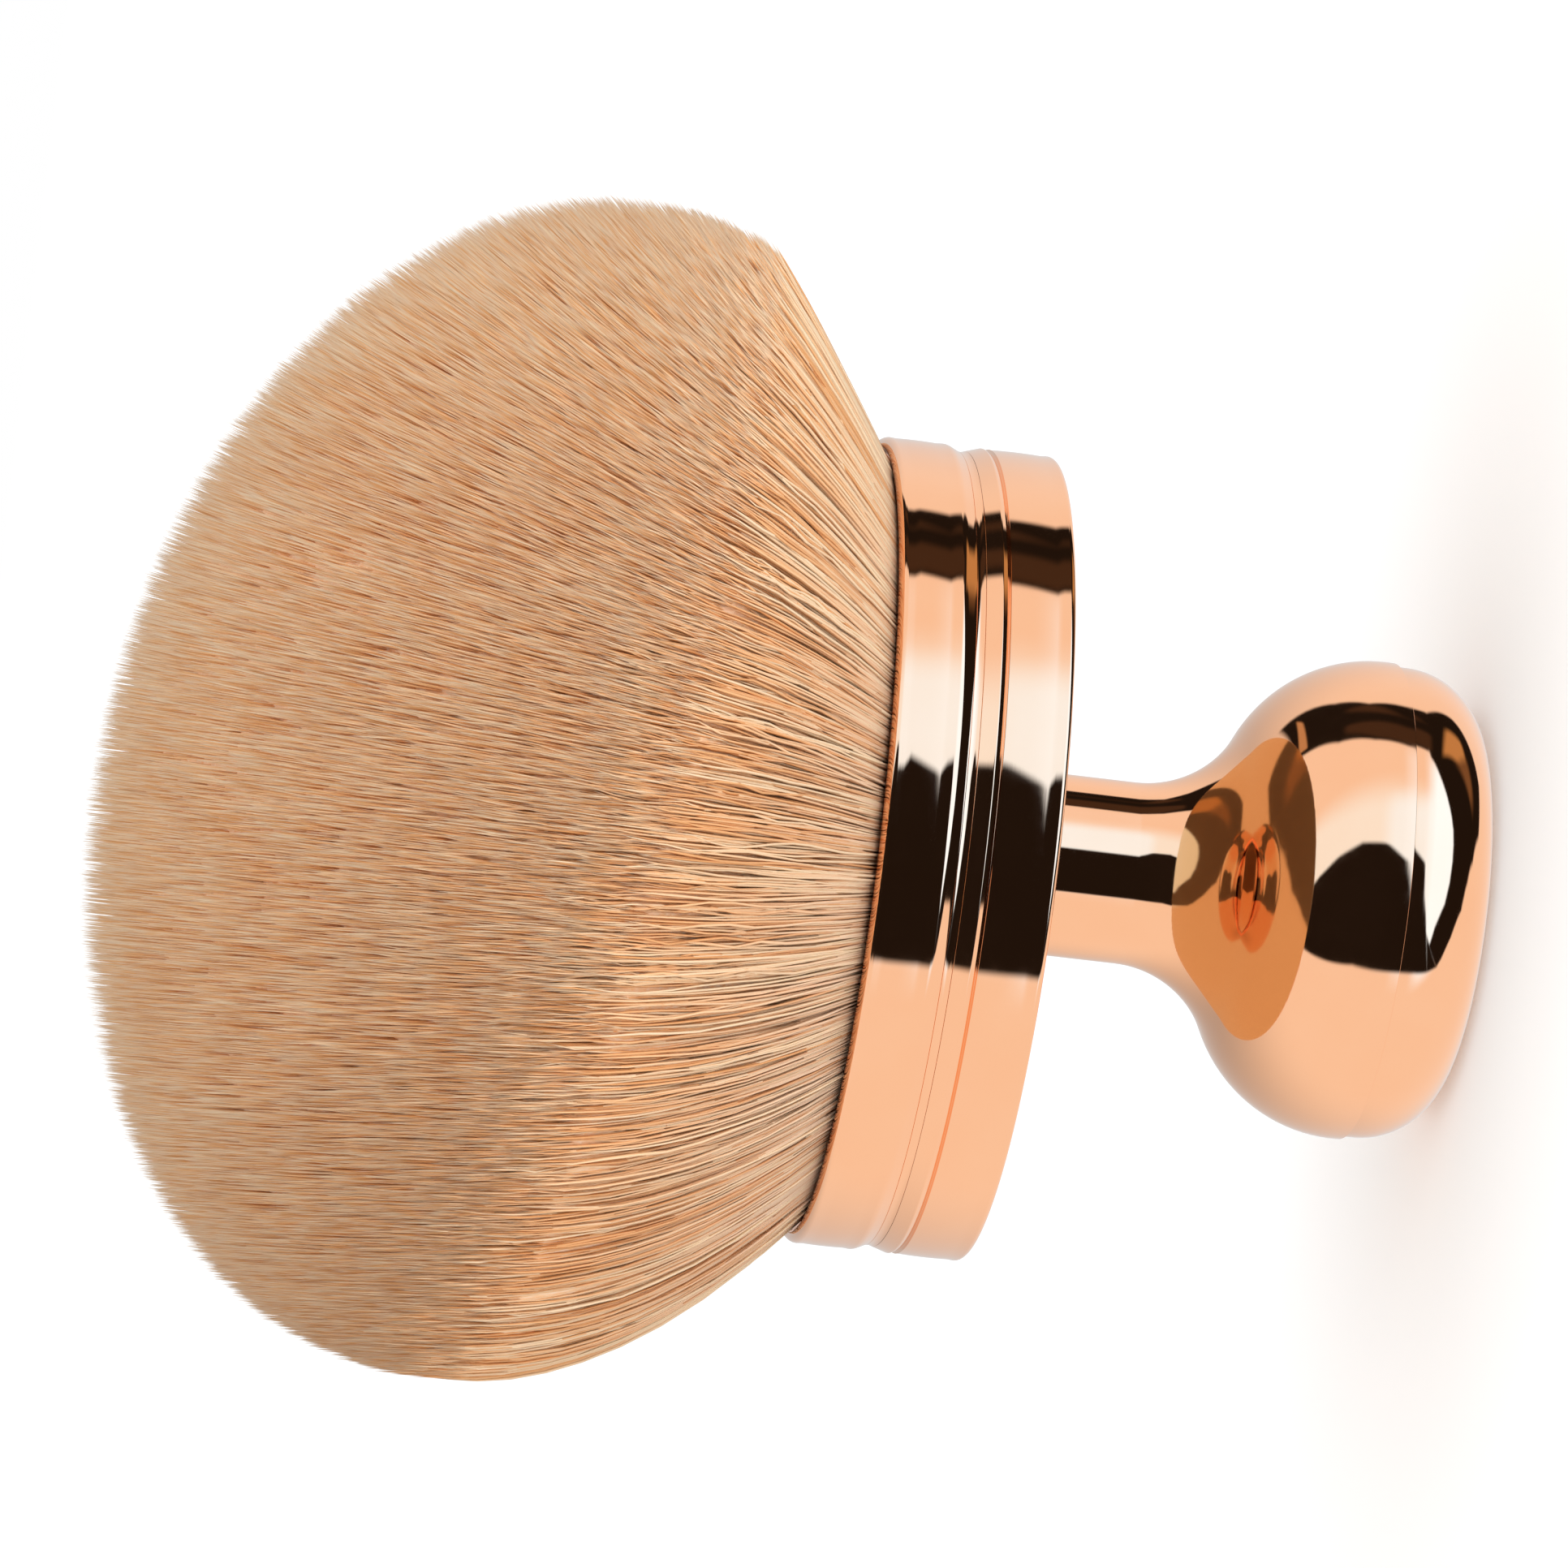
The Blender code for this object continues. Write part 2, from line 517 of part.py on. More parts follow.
def main():
    clear_scene()
    rose_gold = finish("polished_rose_gold", (0.94, 0.58, 0.41), 1, 0.05)
    bristle = finish("bristle_tan", (0.60, 0.32, 0.16), 0, 0.6)
    adhesive = finish("cast_adhesive", (0.42, 0.30, 0.16), 0, 0.35)
    plastic = finish("moulded_core", (0.05, 0.05, 0.055), 0, 0.5)
    steel = finish("zinc_plated_steel", (0.62, 0.62, 0.60), 1, 0.3)
    rubber = finish("seal_rubber", (0.03, 0.03, 0.03), 0, 0.75)

    make_end_cap(rose_gold)
    make_cap_seal(rubber)
    make_weight(steel)
    make_handle(rose_gold)
    make_flat_washer(steel)
    make_lock_washer(steel)
    make_screw(steel)
    make_nut(steel)
    make_core(plastic)
    make_adhesive(adhesive)
    make_rear_ferrule(rose_gold)
    make_seam_ring(rose_gold)
    make_front_ferrule(rose_gold)
    make_tuft(bristle)


main()
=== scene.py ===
"""A dome powder brush on a mushroom handle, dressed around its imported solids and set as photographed."""

import math

import bpy
import numpy as np
from mathutils import Matrix, Vector


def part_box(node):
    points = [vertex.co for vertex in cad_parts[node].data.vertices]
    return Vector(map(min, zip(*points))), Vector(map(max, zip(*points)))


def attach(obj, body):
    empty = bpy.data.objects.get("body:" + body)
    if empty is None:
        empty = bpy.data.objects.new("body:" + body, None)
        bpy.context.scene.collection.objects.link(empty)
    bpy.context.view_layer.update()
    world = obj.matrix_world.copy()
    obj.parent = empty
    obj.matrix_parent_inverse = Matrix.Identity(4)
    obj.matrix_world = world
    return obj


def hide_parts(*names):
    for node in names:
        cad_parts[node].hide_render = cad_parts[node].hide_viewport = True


bl_info = {
    "name": "Mushroom-Handle Powder Brush",
    "version": (1, 0, 0),
    "blender": (4, 5, 0),
    "location": "3D View > Sidebar > Powder Brush",
    "description": "Builds a dome powder brush with a polished ferrule, a mushroom knob and a combed tuft",
    "category": "Add Mesh",
}

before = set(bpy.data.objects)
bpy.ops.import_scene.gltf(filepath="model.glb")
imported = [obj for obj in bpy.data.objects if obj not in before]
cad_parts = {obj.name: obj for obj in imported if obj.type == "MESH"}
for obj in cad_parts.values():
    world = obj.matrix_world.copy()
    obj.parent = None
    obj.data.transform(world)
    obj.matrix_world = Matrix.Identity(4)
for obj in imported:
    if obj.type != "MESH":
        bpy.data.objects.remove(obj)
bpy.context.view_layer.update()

MM = 0.001
BODY = "root"

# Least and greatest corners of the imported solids' boxes, which give heights along the axis and radii
cap_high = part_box("end_cap")[1]
knob_low, knob_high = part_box("handle_body")
seal_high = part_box("cap_seal_ring")[1]
screw_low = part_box("tie_screw")[0]
washer_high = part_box("flat_washer")[1]
rear_low, rear_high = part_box("rear_ferrule")
core_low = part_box("ferrule_core")[0]
seam_low, seam_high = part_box("seam_ring")
front_low, front_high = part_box("front_ferrule")
glue_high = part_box("root_adhesive")[1]

# How finely the turned pieces are drawn. The arcs' steps are in degrees
TURNED_SIDES = 192
HIDDEN_SIDES = 64
ARC_STEP = 3.5
EDGE_ARC_STEP = 15
CROWN_STEPS = 9
BACK_EDGE_STEPS = 24
SUPPORT = 0.06 * MM
MERGE_DISTANCE = 0.002 * MM
SMOOTH_ANGLE = math.radians(28)

# Clearances and joints between the turned skins
CLEARANCE = 0.3 * MM
HAIRLINE = 0.008 * MM
JOINT_BREAK = 0.015 * MM

# Bores, walls and edges that don't show, or hardly
SCREW_BORE = 2.8 * MM
KNOB_WALL = 1.4 * MM
SEAL_OVER_SPIGOT = 0.9 * MM
SPIGOT_WALL = 1.1 * MM
LIP_EDGE = 0.15 * MM

# The valley between the ferrule's bands: heights over its bottom, and the surface's tilt in degrees
VALLEY_STEP = 0.04 * MM
VALLEY_TILTS = (
    (-1.60 * MM, 0),
    (-1.58 * MM, 70),
    (-1.53 * MM, 70),
    (-1.51 * MM, -27),
    (-1.19 * MM, -27),
    (-1.11 * MM, 17),
    (-0.15 * MM, 17),
    (0, 0),
    (0.40 * MM, -27),
    (0.75 * MM, -27),
    (1.10 * MM, 0),
)

# How unevenly the bristles lie. A limit holds back what chance draws, in standard deviations
SPREAD_LIMIT = 2
FUZZ_LIMIT = 4
PROUD_SHARE = 0.5
SWINGS_ALONG = (1.2, 3.6)
SWING_GAIN = 1.7
SHARED_SWING_GAIN = 0.6
TIP_HOLD = 0.4
UNEVEN_ENDS_POWER = 8
TONE_SPREAD = 1.2
SHARED_TONE = 0.2
FIELD_WAVES = 7
FIELD_LEVEL = 0.25

# How the bristles are drawn, each with three corners round it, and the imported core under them
CORNERS = 3
WIDTH_SPREAD = (0.8, 1.15)
TAPER_POWER = 0.7
RING_SPACING_POWER = 0.85
OUTWARD_POWER = 1.5
ROOT_OVERLAP = 0.9 * MM
OFF_AXIS = (0.31, 0.17, 0.94)
TINY = 1e-12
CORE_RINGS = 12
CORE_INSET_SHARES = (0.1, 0.9)

# Patterns in the finishes: cells for each metre, how many times as many along the axis, and depths
CLOUD_CELLS = 260
SMEAR_CELLS = 900
LATHE_CELLS = 600
LATHE_ALONG = 40
LATHE_DEPTH = 0.002 * MM
STREAK_CELLS = 4200
STREAK_ALONG = 0.12
STREAK_DEPTH = 0.15 * MM
CRYSTAL_CELLS = 1400

# Cell size and depth of the moulded grain
ADHESIVE_GRAIN = (1.2 * MM, 0.02 * MM)
CORE_GRAIN = (0.5 * MM, 0.03 * MM)
SEAL_GRAIN = (0.3 * MM, 0.02 * MM)

# Where a filament is painted paler, by the distance from its tip, and how strongly
# Painted light: between these distances from the tip the flare is paler, for the light and sheen it catches
FLARE_LIGHT_SPAN = (3 * MM, 22 * MM)
FLARE_LIGHT_SHARE = 0.9
# The feathered tips are paler, partly their own colour and partly painted rim light
FEATHER_SPAN = (0.2 * MM, 1.3 * MM)
FEATHER_SHARE = 0.8

# The stage
PHOTO_WIDTH = 1932
NEAREST_SEEN = 10 * MM
FLOOR_WIDTH = 24
FLOOR_GLOW = 0.15
KEY_WIDTH = 500 * MM
KEY_DISTANCE = 600 * MM
KEY_DIRECTION = (0.45, -0.85, -0.03)


def whole(name, description, default):
    return bpy.props.IntProperty(name=name, description=description, default=default)


def number(name, description, default, unit="NONE"):
    return bpy.props.FloatProperty(name=name, description=description, default=default, unit=unit)


def length(name, description, default):
    return number(name, description, default, "LENGTH")


def rotation(name, description, degrees):
    return number(name, description, math.radians(degrees), "ROTATION")


def colour(name, description, default):
    return bpy.props.FloatVectorProperty(
        name=name, description=description, default=default, size=3, min=0, max=1, subtype="COLOR"
    )


class BrushSizes(bpy.types.PropertyGroup):
    """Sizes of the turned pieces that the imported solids' boxes don't give."""

    knob_radius: length("Knob radius", "Radius of the knob at its widest", 13.7 * MM)
    knob_widest: length("Knob widest at", "Height of the knob's widest circle", 5.7 * MM)
    shoulder_radius: length("Shoulder arc", "Radius of the arc that rounds the knob", 8.7 * MM)
    cove_radius: length("Cove arc", "Radius of the hollow between knob and stem", 6.3 * MM)
    stem_radius: length("Stem radius", "Radius of the straight stem", 5.2 * MM)
    cap_height: length("Cap height", "Height of the end cap's outer wall", 5.15 * MM)
    cap_edge_radius: length("Cap edge", "Radius of the cap's rounded edge", 4.5 * MM)
    cap_floor: length("Cap floor", "Thickness of the cap's floor", 1.6 * MM)
    wall: length("Wall", "Wall of the ferrule's cup and spigot", 0.8 * MM)
    back_edge_height: length("Back edge height", "Where the back edge starts to round", 0.3 * MM)
    back_edge_width: length("Back edge width", "How far the back edge draws in", 0.25 * MM)
    crown: rotation("Crown", "Tilt of a band's side at its ends", 3.5)
    lip_radius: length("Lip radius", "Radius of the rolled lip at the mouth", 0.5 * MM)
    mouth_bevel: length("Mouth bevel", "Height of the bevel inside the mouth", 1.2 * MM)


class TuftSettings(bpy.types.PropertyGroup):
    """Sizes, counts and unevenness of the bristles."""

    dome_radius: length("Dome radius", "Radius of the dome that the tips lie on", 33.95 * MM)
    dome_half_height: length("Dome half height", "Height of the dome over its centre", 24.2 * MM)
    dome_rise: length("Dome rise", "Height of the dome's centre over the mouth", 17.6 * MM)
    dome_shift: length("Dome shift", "How far the dome's centre is off the axis", 1.0 * MM)
    dome_lean: rotation("Dome lean", "Tilt of the dome about Y", 9.6)
    edge_angle: rotation("Edge angle", "Where the outermost tips lie on the dome", 99)
    mouth_clearance: length("Mouth clearance", "Gap between the lip and the bristles", 0.25 * MM)
    hair_width: length("Bristle width", "Thickness of one bristle", 0.19 * MM)
    tip_width: length("Tip width", "Thickness of a bristle near its tip", 0.045 * MM)
    taper: length("Taper", "Length over which a bristle gets thinner", 4.0 * MM)
    fuzz: length("Fuzz", "How deep under the dome some of the tips end", 0.35 * MM)
    stray: length("Stray", "How far tips stray sideways", 0.35 * MM)
    clump: length("Clump", "How far neighbouring tips draw together", 0.2 * MM)
    clump_width: length("Clump width", "How wide a group of like bristles is", 1.1 * MM)
    wave: length("Wave", "How far a bristle swings off its path", 0.11 * MM)
    wave_width: length("Wave width", "Size of the waves that neighbours share", 2.0 * MM)
    uneven_ends: length("Uneven ends", "How much shorter the outermost bristles are", 1.1 * MM)
    bow: number("Bow", "How far bristles bow outward, as a share", 0.55)
    bow_swing: number("Bow swing", "How much less they bow on one side than the other", 0.45)
    core_share: number("Core share", "Radius of the packed core as a share of the tuft's", 0.965)
    core_inset: length("Core inset", "How far the core lies under the outer tips", 4.6 * MM)
    core_inset_middle: length("Core inset, middle", "The same under the dome's middle", 2.7 * MM)
    loose_count: whole("Loose hairs", "Pale hairs that stand off the flare", 70)
    loose_wave: length("Loose wave", "How far a loose hair swings", 0.22 * MM)
    long_count: whole("Long bristles", "Outer bristles drawn from the mouth to the tip", 12500)
    short_count: whole("Inner bristles", "Inner bristles, of which only the upper end is drawn", 62000)
    shown_length: length("Shown length", "Drawn length of an inner bristle", 13.0 * MM)
    seed: whole("Seed", "Chooses how the bristles lie", 7)


class FinishColours(bpy.types.PropertyGroup):
    """Colours of the brush's finishes."""

    rose_gold: colour("Rose gold", "Polished metal", (0.97, 0.535, 0.315))
    rose_gold_deep: colour("Rose gold, deep", "Where its colour is a little stronger", (0.96, 0.50, 0.28))
    # Painted shade: a deeper, duller copy of the rose gold for the ferrule's back, which darkens its mirror
    # image in the knob's cove
    rose_gold_back_shade: colour("Rose gold, back", "The ferrule's less buffed back", (0.74, 0.49, 0.25))
    bristle_deep: colour("Bristle, deep", "The darkest filaments", (0.79, 0.38, 0.15))
    bristle_tan: colour("Bristle", "Most of the filaments", (0.94, 0.55, 0.28))
    bristle_pale: colour("Bristle, pale", "The palest filaments", (0.97, 0.74, 0.50))
    # Painted light: the flare is paler to stand in for the light it catches
    bristle_flare_painted_light: colour("Bristle, flare", "Filaments near the ferrule", (0.95, 0.72, 0.54))
    # Paler tips: partly their own feathered colour, partly painted rim light
    bristle_tip_and_rim_light: colour("Bristle tip", "Feathered ends", (0.97, 0.74, 0.54))
    adhesive: colour("Adhesive", "Cast adhesive under the roots", (0.42, 0.30, 0.16))
    plastic: colour("Core plastic", "Moulded filler", (0.05, 0.05, 0.055))
    steel: colour("Steel", "Zinc plated steel", (0.62, 0.62, 0.60))
    rubber: colour("Rubber", "Seal in the knob", (0.03, 0.03, 0.03))


class StudioSettings(bpy.types.PropertyGroup):
    """Camera and light, as fitted to the photograph."""

    distance: length("Camera distance", "From the brush to the lens", 450 * MM)
    focal_pixels: number("Focal length", "In pixels of the 1932 pixel wide photograph", 9779)
    elevation: rotation("Elevation", "How far the camera looks down", 6.17)
    roll: rotation("Roll", "Lean of the lying brush in the picture", 6.71)
    target_side: length("Target, sideways", "Where the picture's centre lies along X", 2.76 * MM)
    target_height: length("Target, height", "Where the picture's centre lies along Z", 39.2 * MM)
    soft_light: number("Soft light", "Level of the even light from all round", 1.07)
    key_power: number("Key power", "Power of the large soft lamp", 2.5, "POWER")


def sizes():
    return bpy.context.scene.brush_sizes


def tuft():
    return bpy.context.scene.brush_tuft


def colours():
    return bpy.context.scene.brush_colours


def studio():
    return bpy.context.scene.brush_studio


class Nodes:
    """Adds nodes to a material or world one after another, and links them."""

    def __init__(self, tree):
        self.tree = tree

    def add(self, kind, **settings):
        node = self.tree.nodes.new(kind)
        for key, value in settings.items():
            setattr(node, key, value)
        return node

    def feed(self, socket, value):
        """Sets an input to a value, or links it to another node's output."""
        if isinstance(value, bpy.types.NodeSocket):
            self.tree.links.new(value, socket)
        else:
            socket.default_value = value

    def fill(self, node, values):
        """Feeds a node's inputs by their names."""
        for name, value in values.items():
            self.feed(node.inputs[name], value)

    def math(self, operation, *values, clamp=False):
        node = self.add("ShaderNodeMath", operation=operation, use_clamp=clamp)
        for socket, value in zip(node.inputs, values):
            self.feed(socket, value)
        return node.outputs[0]

    def rescale(self, value, low, high, new_low, new_high, smooth=False):
        """Maps a range of values to another, and holds the ends."""
        node = self.add("ShaderNodeMapRange", interpolation_type="SMOOTHSTEP" if smooth else "LINEAR")
        ends = {"From Min": low, "From Max": high, "To Min": new_low, "To Max": new_high}
        self.fill(node, {"Value": value, **ends})
        return node.outputs["Result"]

    def mix(self, share, first, second):
        """Mixes two colours: only the first at share 0, only the second at 1."""
        node = self.add("ShaderNodeMix", data_type="RGBA")
        self.feed(node.inputs[0], share)
        for socket, value in ((node.inputs[6], first), (node.inputs[7], second)):
            self.feed(socket, value if isinstance(value, bpy.types.NodeSocket) else (*value, 1))
        return node.outputs[2]

    def dot(self, vector, other):
        node = self.add("ShaderNodeVectorMath", operation="DOT_PRODUCT")
        self.feed(node.inputs[0], vector)
        self.feed(node.inputs[1], other)
        return node.outputs["Value"]

    def place(self, along=1):
        """Where a point lies on its piece, with heights scaled for a pattern of long or flat cells."""
        node = self.add("ShaderNodeMapping")
        point = self.add("ShaderNodeTexCoord").outputs["Object"]
        self.fill(node, {"Vector": point, "Scale": (1, 1, along)})
        return node.outputs["Vector"]

    def noise(self, place, scale, detail, roughness=0.5):
        node = self.add("ShaderNodeTexNoise")
        self.fill(node, {"Vector": place, "Scale": scale, "Detail": detail, "Roughness": roughness})
        return node.outputs["Fac"]

    def bump(self, height, distance, strength):
        node = self.add("ShaderNodeBump")
        self.fill(node, {"Height": height, "Distance": distance, "Strength": strength})
        return node.outputs["Normal"]


def new_finish(name):
    """A new material, ready for its nodes."""
    made = bpy.data.materials.new(name)
    made.use_nodes = True
    return made, Nodes(made.node_tree)


def finished(made, nodes, looks):
    """The material with the inputs of its Principled shader fed."""
    nodes.fill(made.node_tree.nodes["Principled BSDF"], looks)
    return made


def turned_metal(name, base, deeper, dullness, metallic=1.0):
    """Mirror-polished metal: fine lathe lines, and faint smears that dull it here and there."""
    made, nodes = new_finish(name)
    cloud = nodes.noise(nodes.place(), CLOUD_CELLS, 3)
    smear = nodes.noise(nodes.place(), SMEAR_CELLS, 4, 0.6)
    lathe = nodes.noise(nodes.place(LATHE_ALONG), LATHE_CELLS, 2)
    looks = {
        "Base Color": nodes.mix(cloud, base, deeper),
        "Metallic": metallic,
        "Roughness": nodes.rescale(smear, 0.35, 0.75, *dullness),
        "Normal": nodes.bump(lathe, LATHE_DEPTH, 0.12),
    }
    return finished(made, nodes, looks)


def rose_gold():
    """The metal that several operators share, made once."""
    own = colours()
    name = "polished_rose_gold"
    made = bpy.data.materials.get(name)
    return made or turned_metal(name, own.rose_gold, own.rose_gold_deep, (0.03, 0.065))


def shaded_back_rose_gold():
    """The same metal on the ferrule's back, deeper, duller and softer: painted shade that darkens the back's
    mirror image in the knob's cove.
    """
    base = colours().rose_gold_back_shade
    return turned_metal("polished_rose_gold_back_shade", base, base, (0.06, 0.11), 0.8)


def filament():
    """Soft synthetic filament: each has its own tone, with paler painted light over its flare towards the
    ferrule, and its end is feathered and paler, partly its own colour and partly painted rim light.
    """
    made, nodes = new_finish("bristle_filament")
    own = colours()
    tone = nodes.add("ShaderNodeAttribute", attribute_name="tone").outputs["Fac"]
    depth = nodes.add("ShaderNodeAttribute", attribute_name="from_tip").outputs["Fac"]
    # Painted light: paler over the flare towards the ferrule
    flare = nodes.rescale(depth, *FLARE_LIGHT_SPAN, 0, FLARE_LIGHT_SHARE, smooth=True)
    body = nodes.mix(flare, own.bristle_tan, own.bristle_flare_painted_light)
    body = nodes.mix(nodes.rescale(tone, 0.0, 0.5, 0, 1), own.bristle_deep, body)
    body = nodes.mix(nodes.rescale(tone, 0.5, 1.0, 0, 1), body, own.bristle_pale)
    # Paler feathered tips: partly their own colour, partly painted rim light
    feather = nodes.rescale(depth, *FEATHER_SPAN, FEATHER_SHARE, 0, smooth=True)
    body = nodes.mix(feather, body, own.bristle_tip_and_rim_light)
    return finished(made, nodes, {"Base Color": body, "Roughness": 0.55, "Specular IOR Level": 0.16})


def packed_filament():
    """What shows between the bristles: their shaded mass, streaked along their run, painted lighter with the
    flare's paler colour to lift the shade in the gaps.
    """
    made, nodes = new_finish("packed_filament")
    own = colours()
    grain = nodes.noise(nodes.place(STREAK_ALONG), STREAK_CELLS, 3, 0.65)
    shade = nodes.rescale(grain, 0.35, 0.7, 0, 1)
    looks = {
        # Painted light: streaks of the flare's paler colour lift the shade in the gaps between the bristles
        "Base Color": nodes.mix(shade, own.bristle_tan, own.bristle_flare_painted_light),
        "Roughness": 0.8,
        "Specular IOR Level": 0.05,
        "Normal": nodes.bump(grain, STREAK_DEPTH, 0.4),
    }
    return finished(made, nodes, looks)


def moulded(name, base, rough, grain_size, grain_depth):
    """Plastic, rubber or cast adhesive with a fine moulded grain."""
    made, nodes = new_finish(name)
    grain = nodes.noise(nodes.place(), 1 / grain_size, 4, 0.6)
    paler = [min(1, part * 1.25 + 0.004) for part in base]
    looks = {
        "Base Color": nodes.mix(nodes.rescale(grain, 0.35, 0.7, 0, 1), base, paler),
        "Roughness": nodes.rescale(grain, 0.3, 0.7, rough - 0.08, rough + 0.08),
        "Normal": nodes.bump(grain, grain_depth, 0.5),
    }
    return finished(made, nodes, looks)


def zinc_plated():
    """Dull bright plating with a crystalline bloom."""
    made, nodes = new_finish("zinc_plated_steel")
    crystals = nodes.add("ShaderNodeTexVoronoi")
    nodes.fill(crystals, {"Vector": nodes.place(), "Scale": CRYSTAL_CELLS})
    from_middle = crystals.outputs["Distance"]
    base = colours().steel
    darker = [part * 0.8 for part in base]
    looks = {
        "Base Color": nodes.mix(nodes.rescale(from_middle, 0.1, 0.7, 0, 1), base, darker),
        "Metallic": 1,
        "Roughness": nodes.rescale(from_middle, 0, 0.8, 0.22, 0.4),
    }
    return finished(made, nodes, looks)


def arc(centre, radius, start, end, step=ARC_STEP):
    """Points of an arc in the radius and height plane, from one angle in degrees to another."""
    count = max(2, math.ceil(abs(end - start) / step))
    points = []
    for index in range(count + 1):
        angle = math.radians(start + (end - start) * index / count)
        points.append((centre[0] + radius * math.cos(angle), centre[1] + radius * math.sin(angle)))
    return points


def straight(start, end):
    """A straight run with a point just inside each end, which keeps its mirror flat."""
    run = Vector(end) - Vector(start)
    inset = run.normalized() * min(SUPPORT, run.length / 4)
    return [tuple(Vector(start) + inset), tuple(Vector(end) - inset)]


def crowned(start, end):
    """Points of a band's slightly barrelled side, whose ends tilt as far as the crown says."""
    width = end[1] - start[1]
    bulge = width / 4 * math.tan(sizes().crown)
    points = []
    for index in range(CROWN_STEPS + 1):
        share = index / CROWN_STEPS
        radius = start[0] + (end[0] - start[0]) * share + 4 * bulge * share * (1 - share) - bulge
        points.append((radius, start[1] + width * share))
    return points


def rounded_back(back, radius):
    """Points of the ferrule's back edge, a quarter of an ellipse from the flat back to the band's side."""
    own = sizes()
    points = []
    for index in range(BACK_EDGE_STEPS + 1):
        angle = math.pi / 2 * (1 - index / BACK_EDGE_STEPS)
        across = radius - own.back_edge_width * (1 - math.cos(angle))
        points.append((across, back + own.back_edge_height * (1 - math.sin(angle))))
    return points


def new_object(name, data):
    made = bpy.data.objects.new(name, data)
    bpy.context.scene.collection.objects.link(made)
    return made


def deselect_all():
    if bpy.context.object and bpy.context.object.mode != "OBJECT":
        bpy.ops.object.mode_set(mode="OBJECT")
    bpy.ops.object.select_all(action="DESELECT")


def turned(name, outline, closed=True, sides=TURNED_SIDES):
    """Draws an outline and spins it about the axis. An open one starts and ends on the axis."""
    deselect_all()
    points = [Vector((radius, 0, height)) for radius, height in outline]
    if closed:
        points.append(points[0])
    bpy.ops.mesh.primitive_plane_add(size=MM, location=points[0])
    piece = bpy.context.object
    piece.name = name
    piece.data.name = name
    bpy.ops.object.transform_apply(location=True, rotation=True, scale=True)
    bpy.ops.object.mode_set(mode="EDIT")
    bpy.ops.mesh.select_all(action="SELECT")
    bpy.ops.mesh.merge(type="CENTER")
    for before, after in zip(points, points[1:]):
        bpy.ops.mesh.extrude_vertices_move(TRANSFORM_OT_translate={"value": after - before})
    bpy.ops.mesh.select_all(action="SELECT")
    bpy.ops.mesh.spin(steps=sides, angle=math.tau, center=(0, 0, 0), axis=(0, 0, 1), use_auto_merge=False)
    bpy.ops.mesh.select_all(action="SELECT")
    bpy.ops.mesh.remove_doubles(threshold=MERGE_DISTANCE)
    bpy.ops.mesh.select_all(action="SELECT")
    bpy.ops.mesh.normals_make_consistent(inside=False)
    bpy.ops.object.mode_set(mode="OBJECT")
    bpy.ops.object.shade_smooth_by_angle(angle=SMOOTH_ANGLE)
    return piece


def dress(piece, finish, node):
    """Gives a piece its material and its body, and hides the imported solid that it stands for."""
    piece.data.materials.clear()
    piece.data.materials.append(finish)
    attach(piece, BODY)
    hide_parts(node)


class BRUSH_OT_end_cap(bpy.types.Operator):
    """Turns the cap that closes the knob, with its rounded edge and its spigot"""

    bl_idname = "brush.end_cap"
    bl_label = "End Cap"

    def execute(self, context):
        own = sizes()
        radius = cap_high.x
        edge = own.cap_edge_radius
        top = (own.cap_height + knob_low.z - HAIRLINE) / 2
        outline = [(0, 0)] + straight((0, 0), (radius - edge, 0))[1:]
        outline += arc((radius - edge, edge), edge, -90, 0)
        outline += straight((radius, edge), (radius, top - JOINT_BREAK))
        outline += [(radius - JOINT_BREAK, top)]
        spigot = seal_high.x - SEAL_OVER_SPIGOT
        bore = spigot - SPIGOT_WALL
        outline += [(spigot, top), (spigot, cap_high.z), (bore, cap_high.z)]
        outline += [(bore, own.cap_floor), (0, own.cap_floor)]
        dress(turned("end_cap_skin", outline, closed=False), rose_gold(), "end_cap")
        return {"FINISHED"}


class BRUSH_OT_handle(bpy.types.Operator):
    """Turns the knob, the cove and the stem in one piece, bored through"""

    bl_idname = "brush.handle"
    bl_label = "Knob and Stem"

    def execute(self, context):
        own = sizes()
        shoulder = (own.knob_radius - own.shoulder_radius, own.knob_widest)
        cove_across = own.stem_radius + own.cove_radius
        reach = own.shoulder_radius + own.cove_radius
        rise = math.sqrt(reach**2 - (cove_across - shoulder[0]) ** 2)
        cove = (cove_across, own.knob_widest + rise)
        meeting = math.degrees(math.atan2(rise, cove_across - shoulder[0]))
        bottom = (own.cap_height + knob_low.z + HAIRLINE) / 2
        start = math.degrees(math.asin((bottom + JOINT_BREAK - own.knob_widest) / own.shoulder_radius))
        first = arc(shoulder, own.shoulder_radius, start, meeting)
        outline = [(first[0][0] - JOINT_BREAK, bottom)] + first
        outline += arc(cove, own.cove_radius, 180 + meeting, 180)[1:]
        stem_top = knob_high.z
        outline += straight((own.stem_radius, cove[1]), (own.stem_radius, stem_top))
        pocket = washer_high.x + CLEARANCE
        pocket_top = washer_high.z + CLEARANCE
        hollow = own.knob_radius - KNOB_WALL
        hollow_top = screw_low.z
        outline += [(own.stem_radius, stem_top), (SCREW_BORE, stem_top), (SCREW_BORE, pocket_top)]
        outline += [(pocket, pocket_top), (pocket, hollow_top), (hollow, hollow_top), (hollow, bottom)]
        dress(turned("handle_skin", outline), rose_gold(), "handle_body")
        return {"FINISHED"}


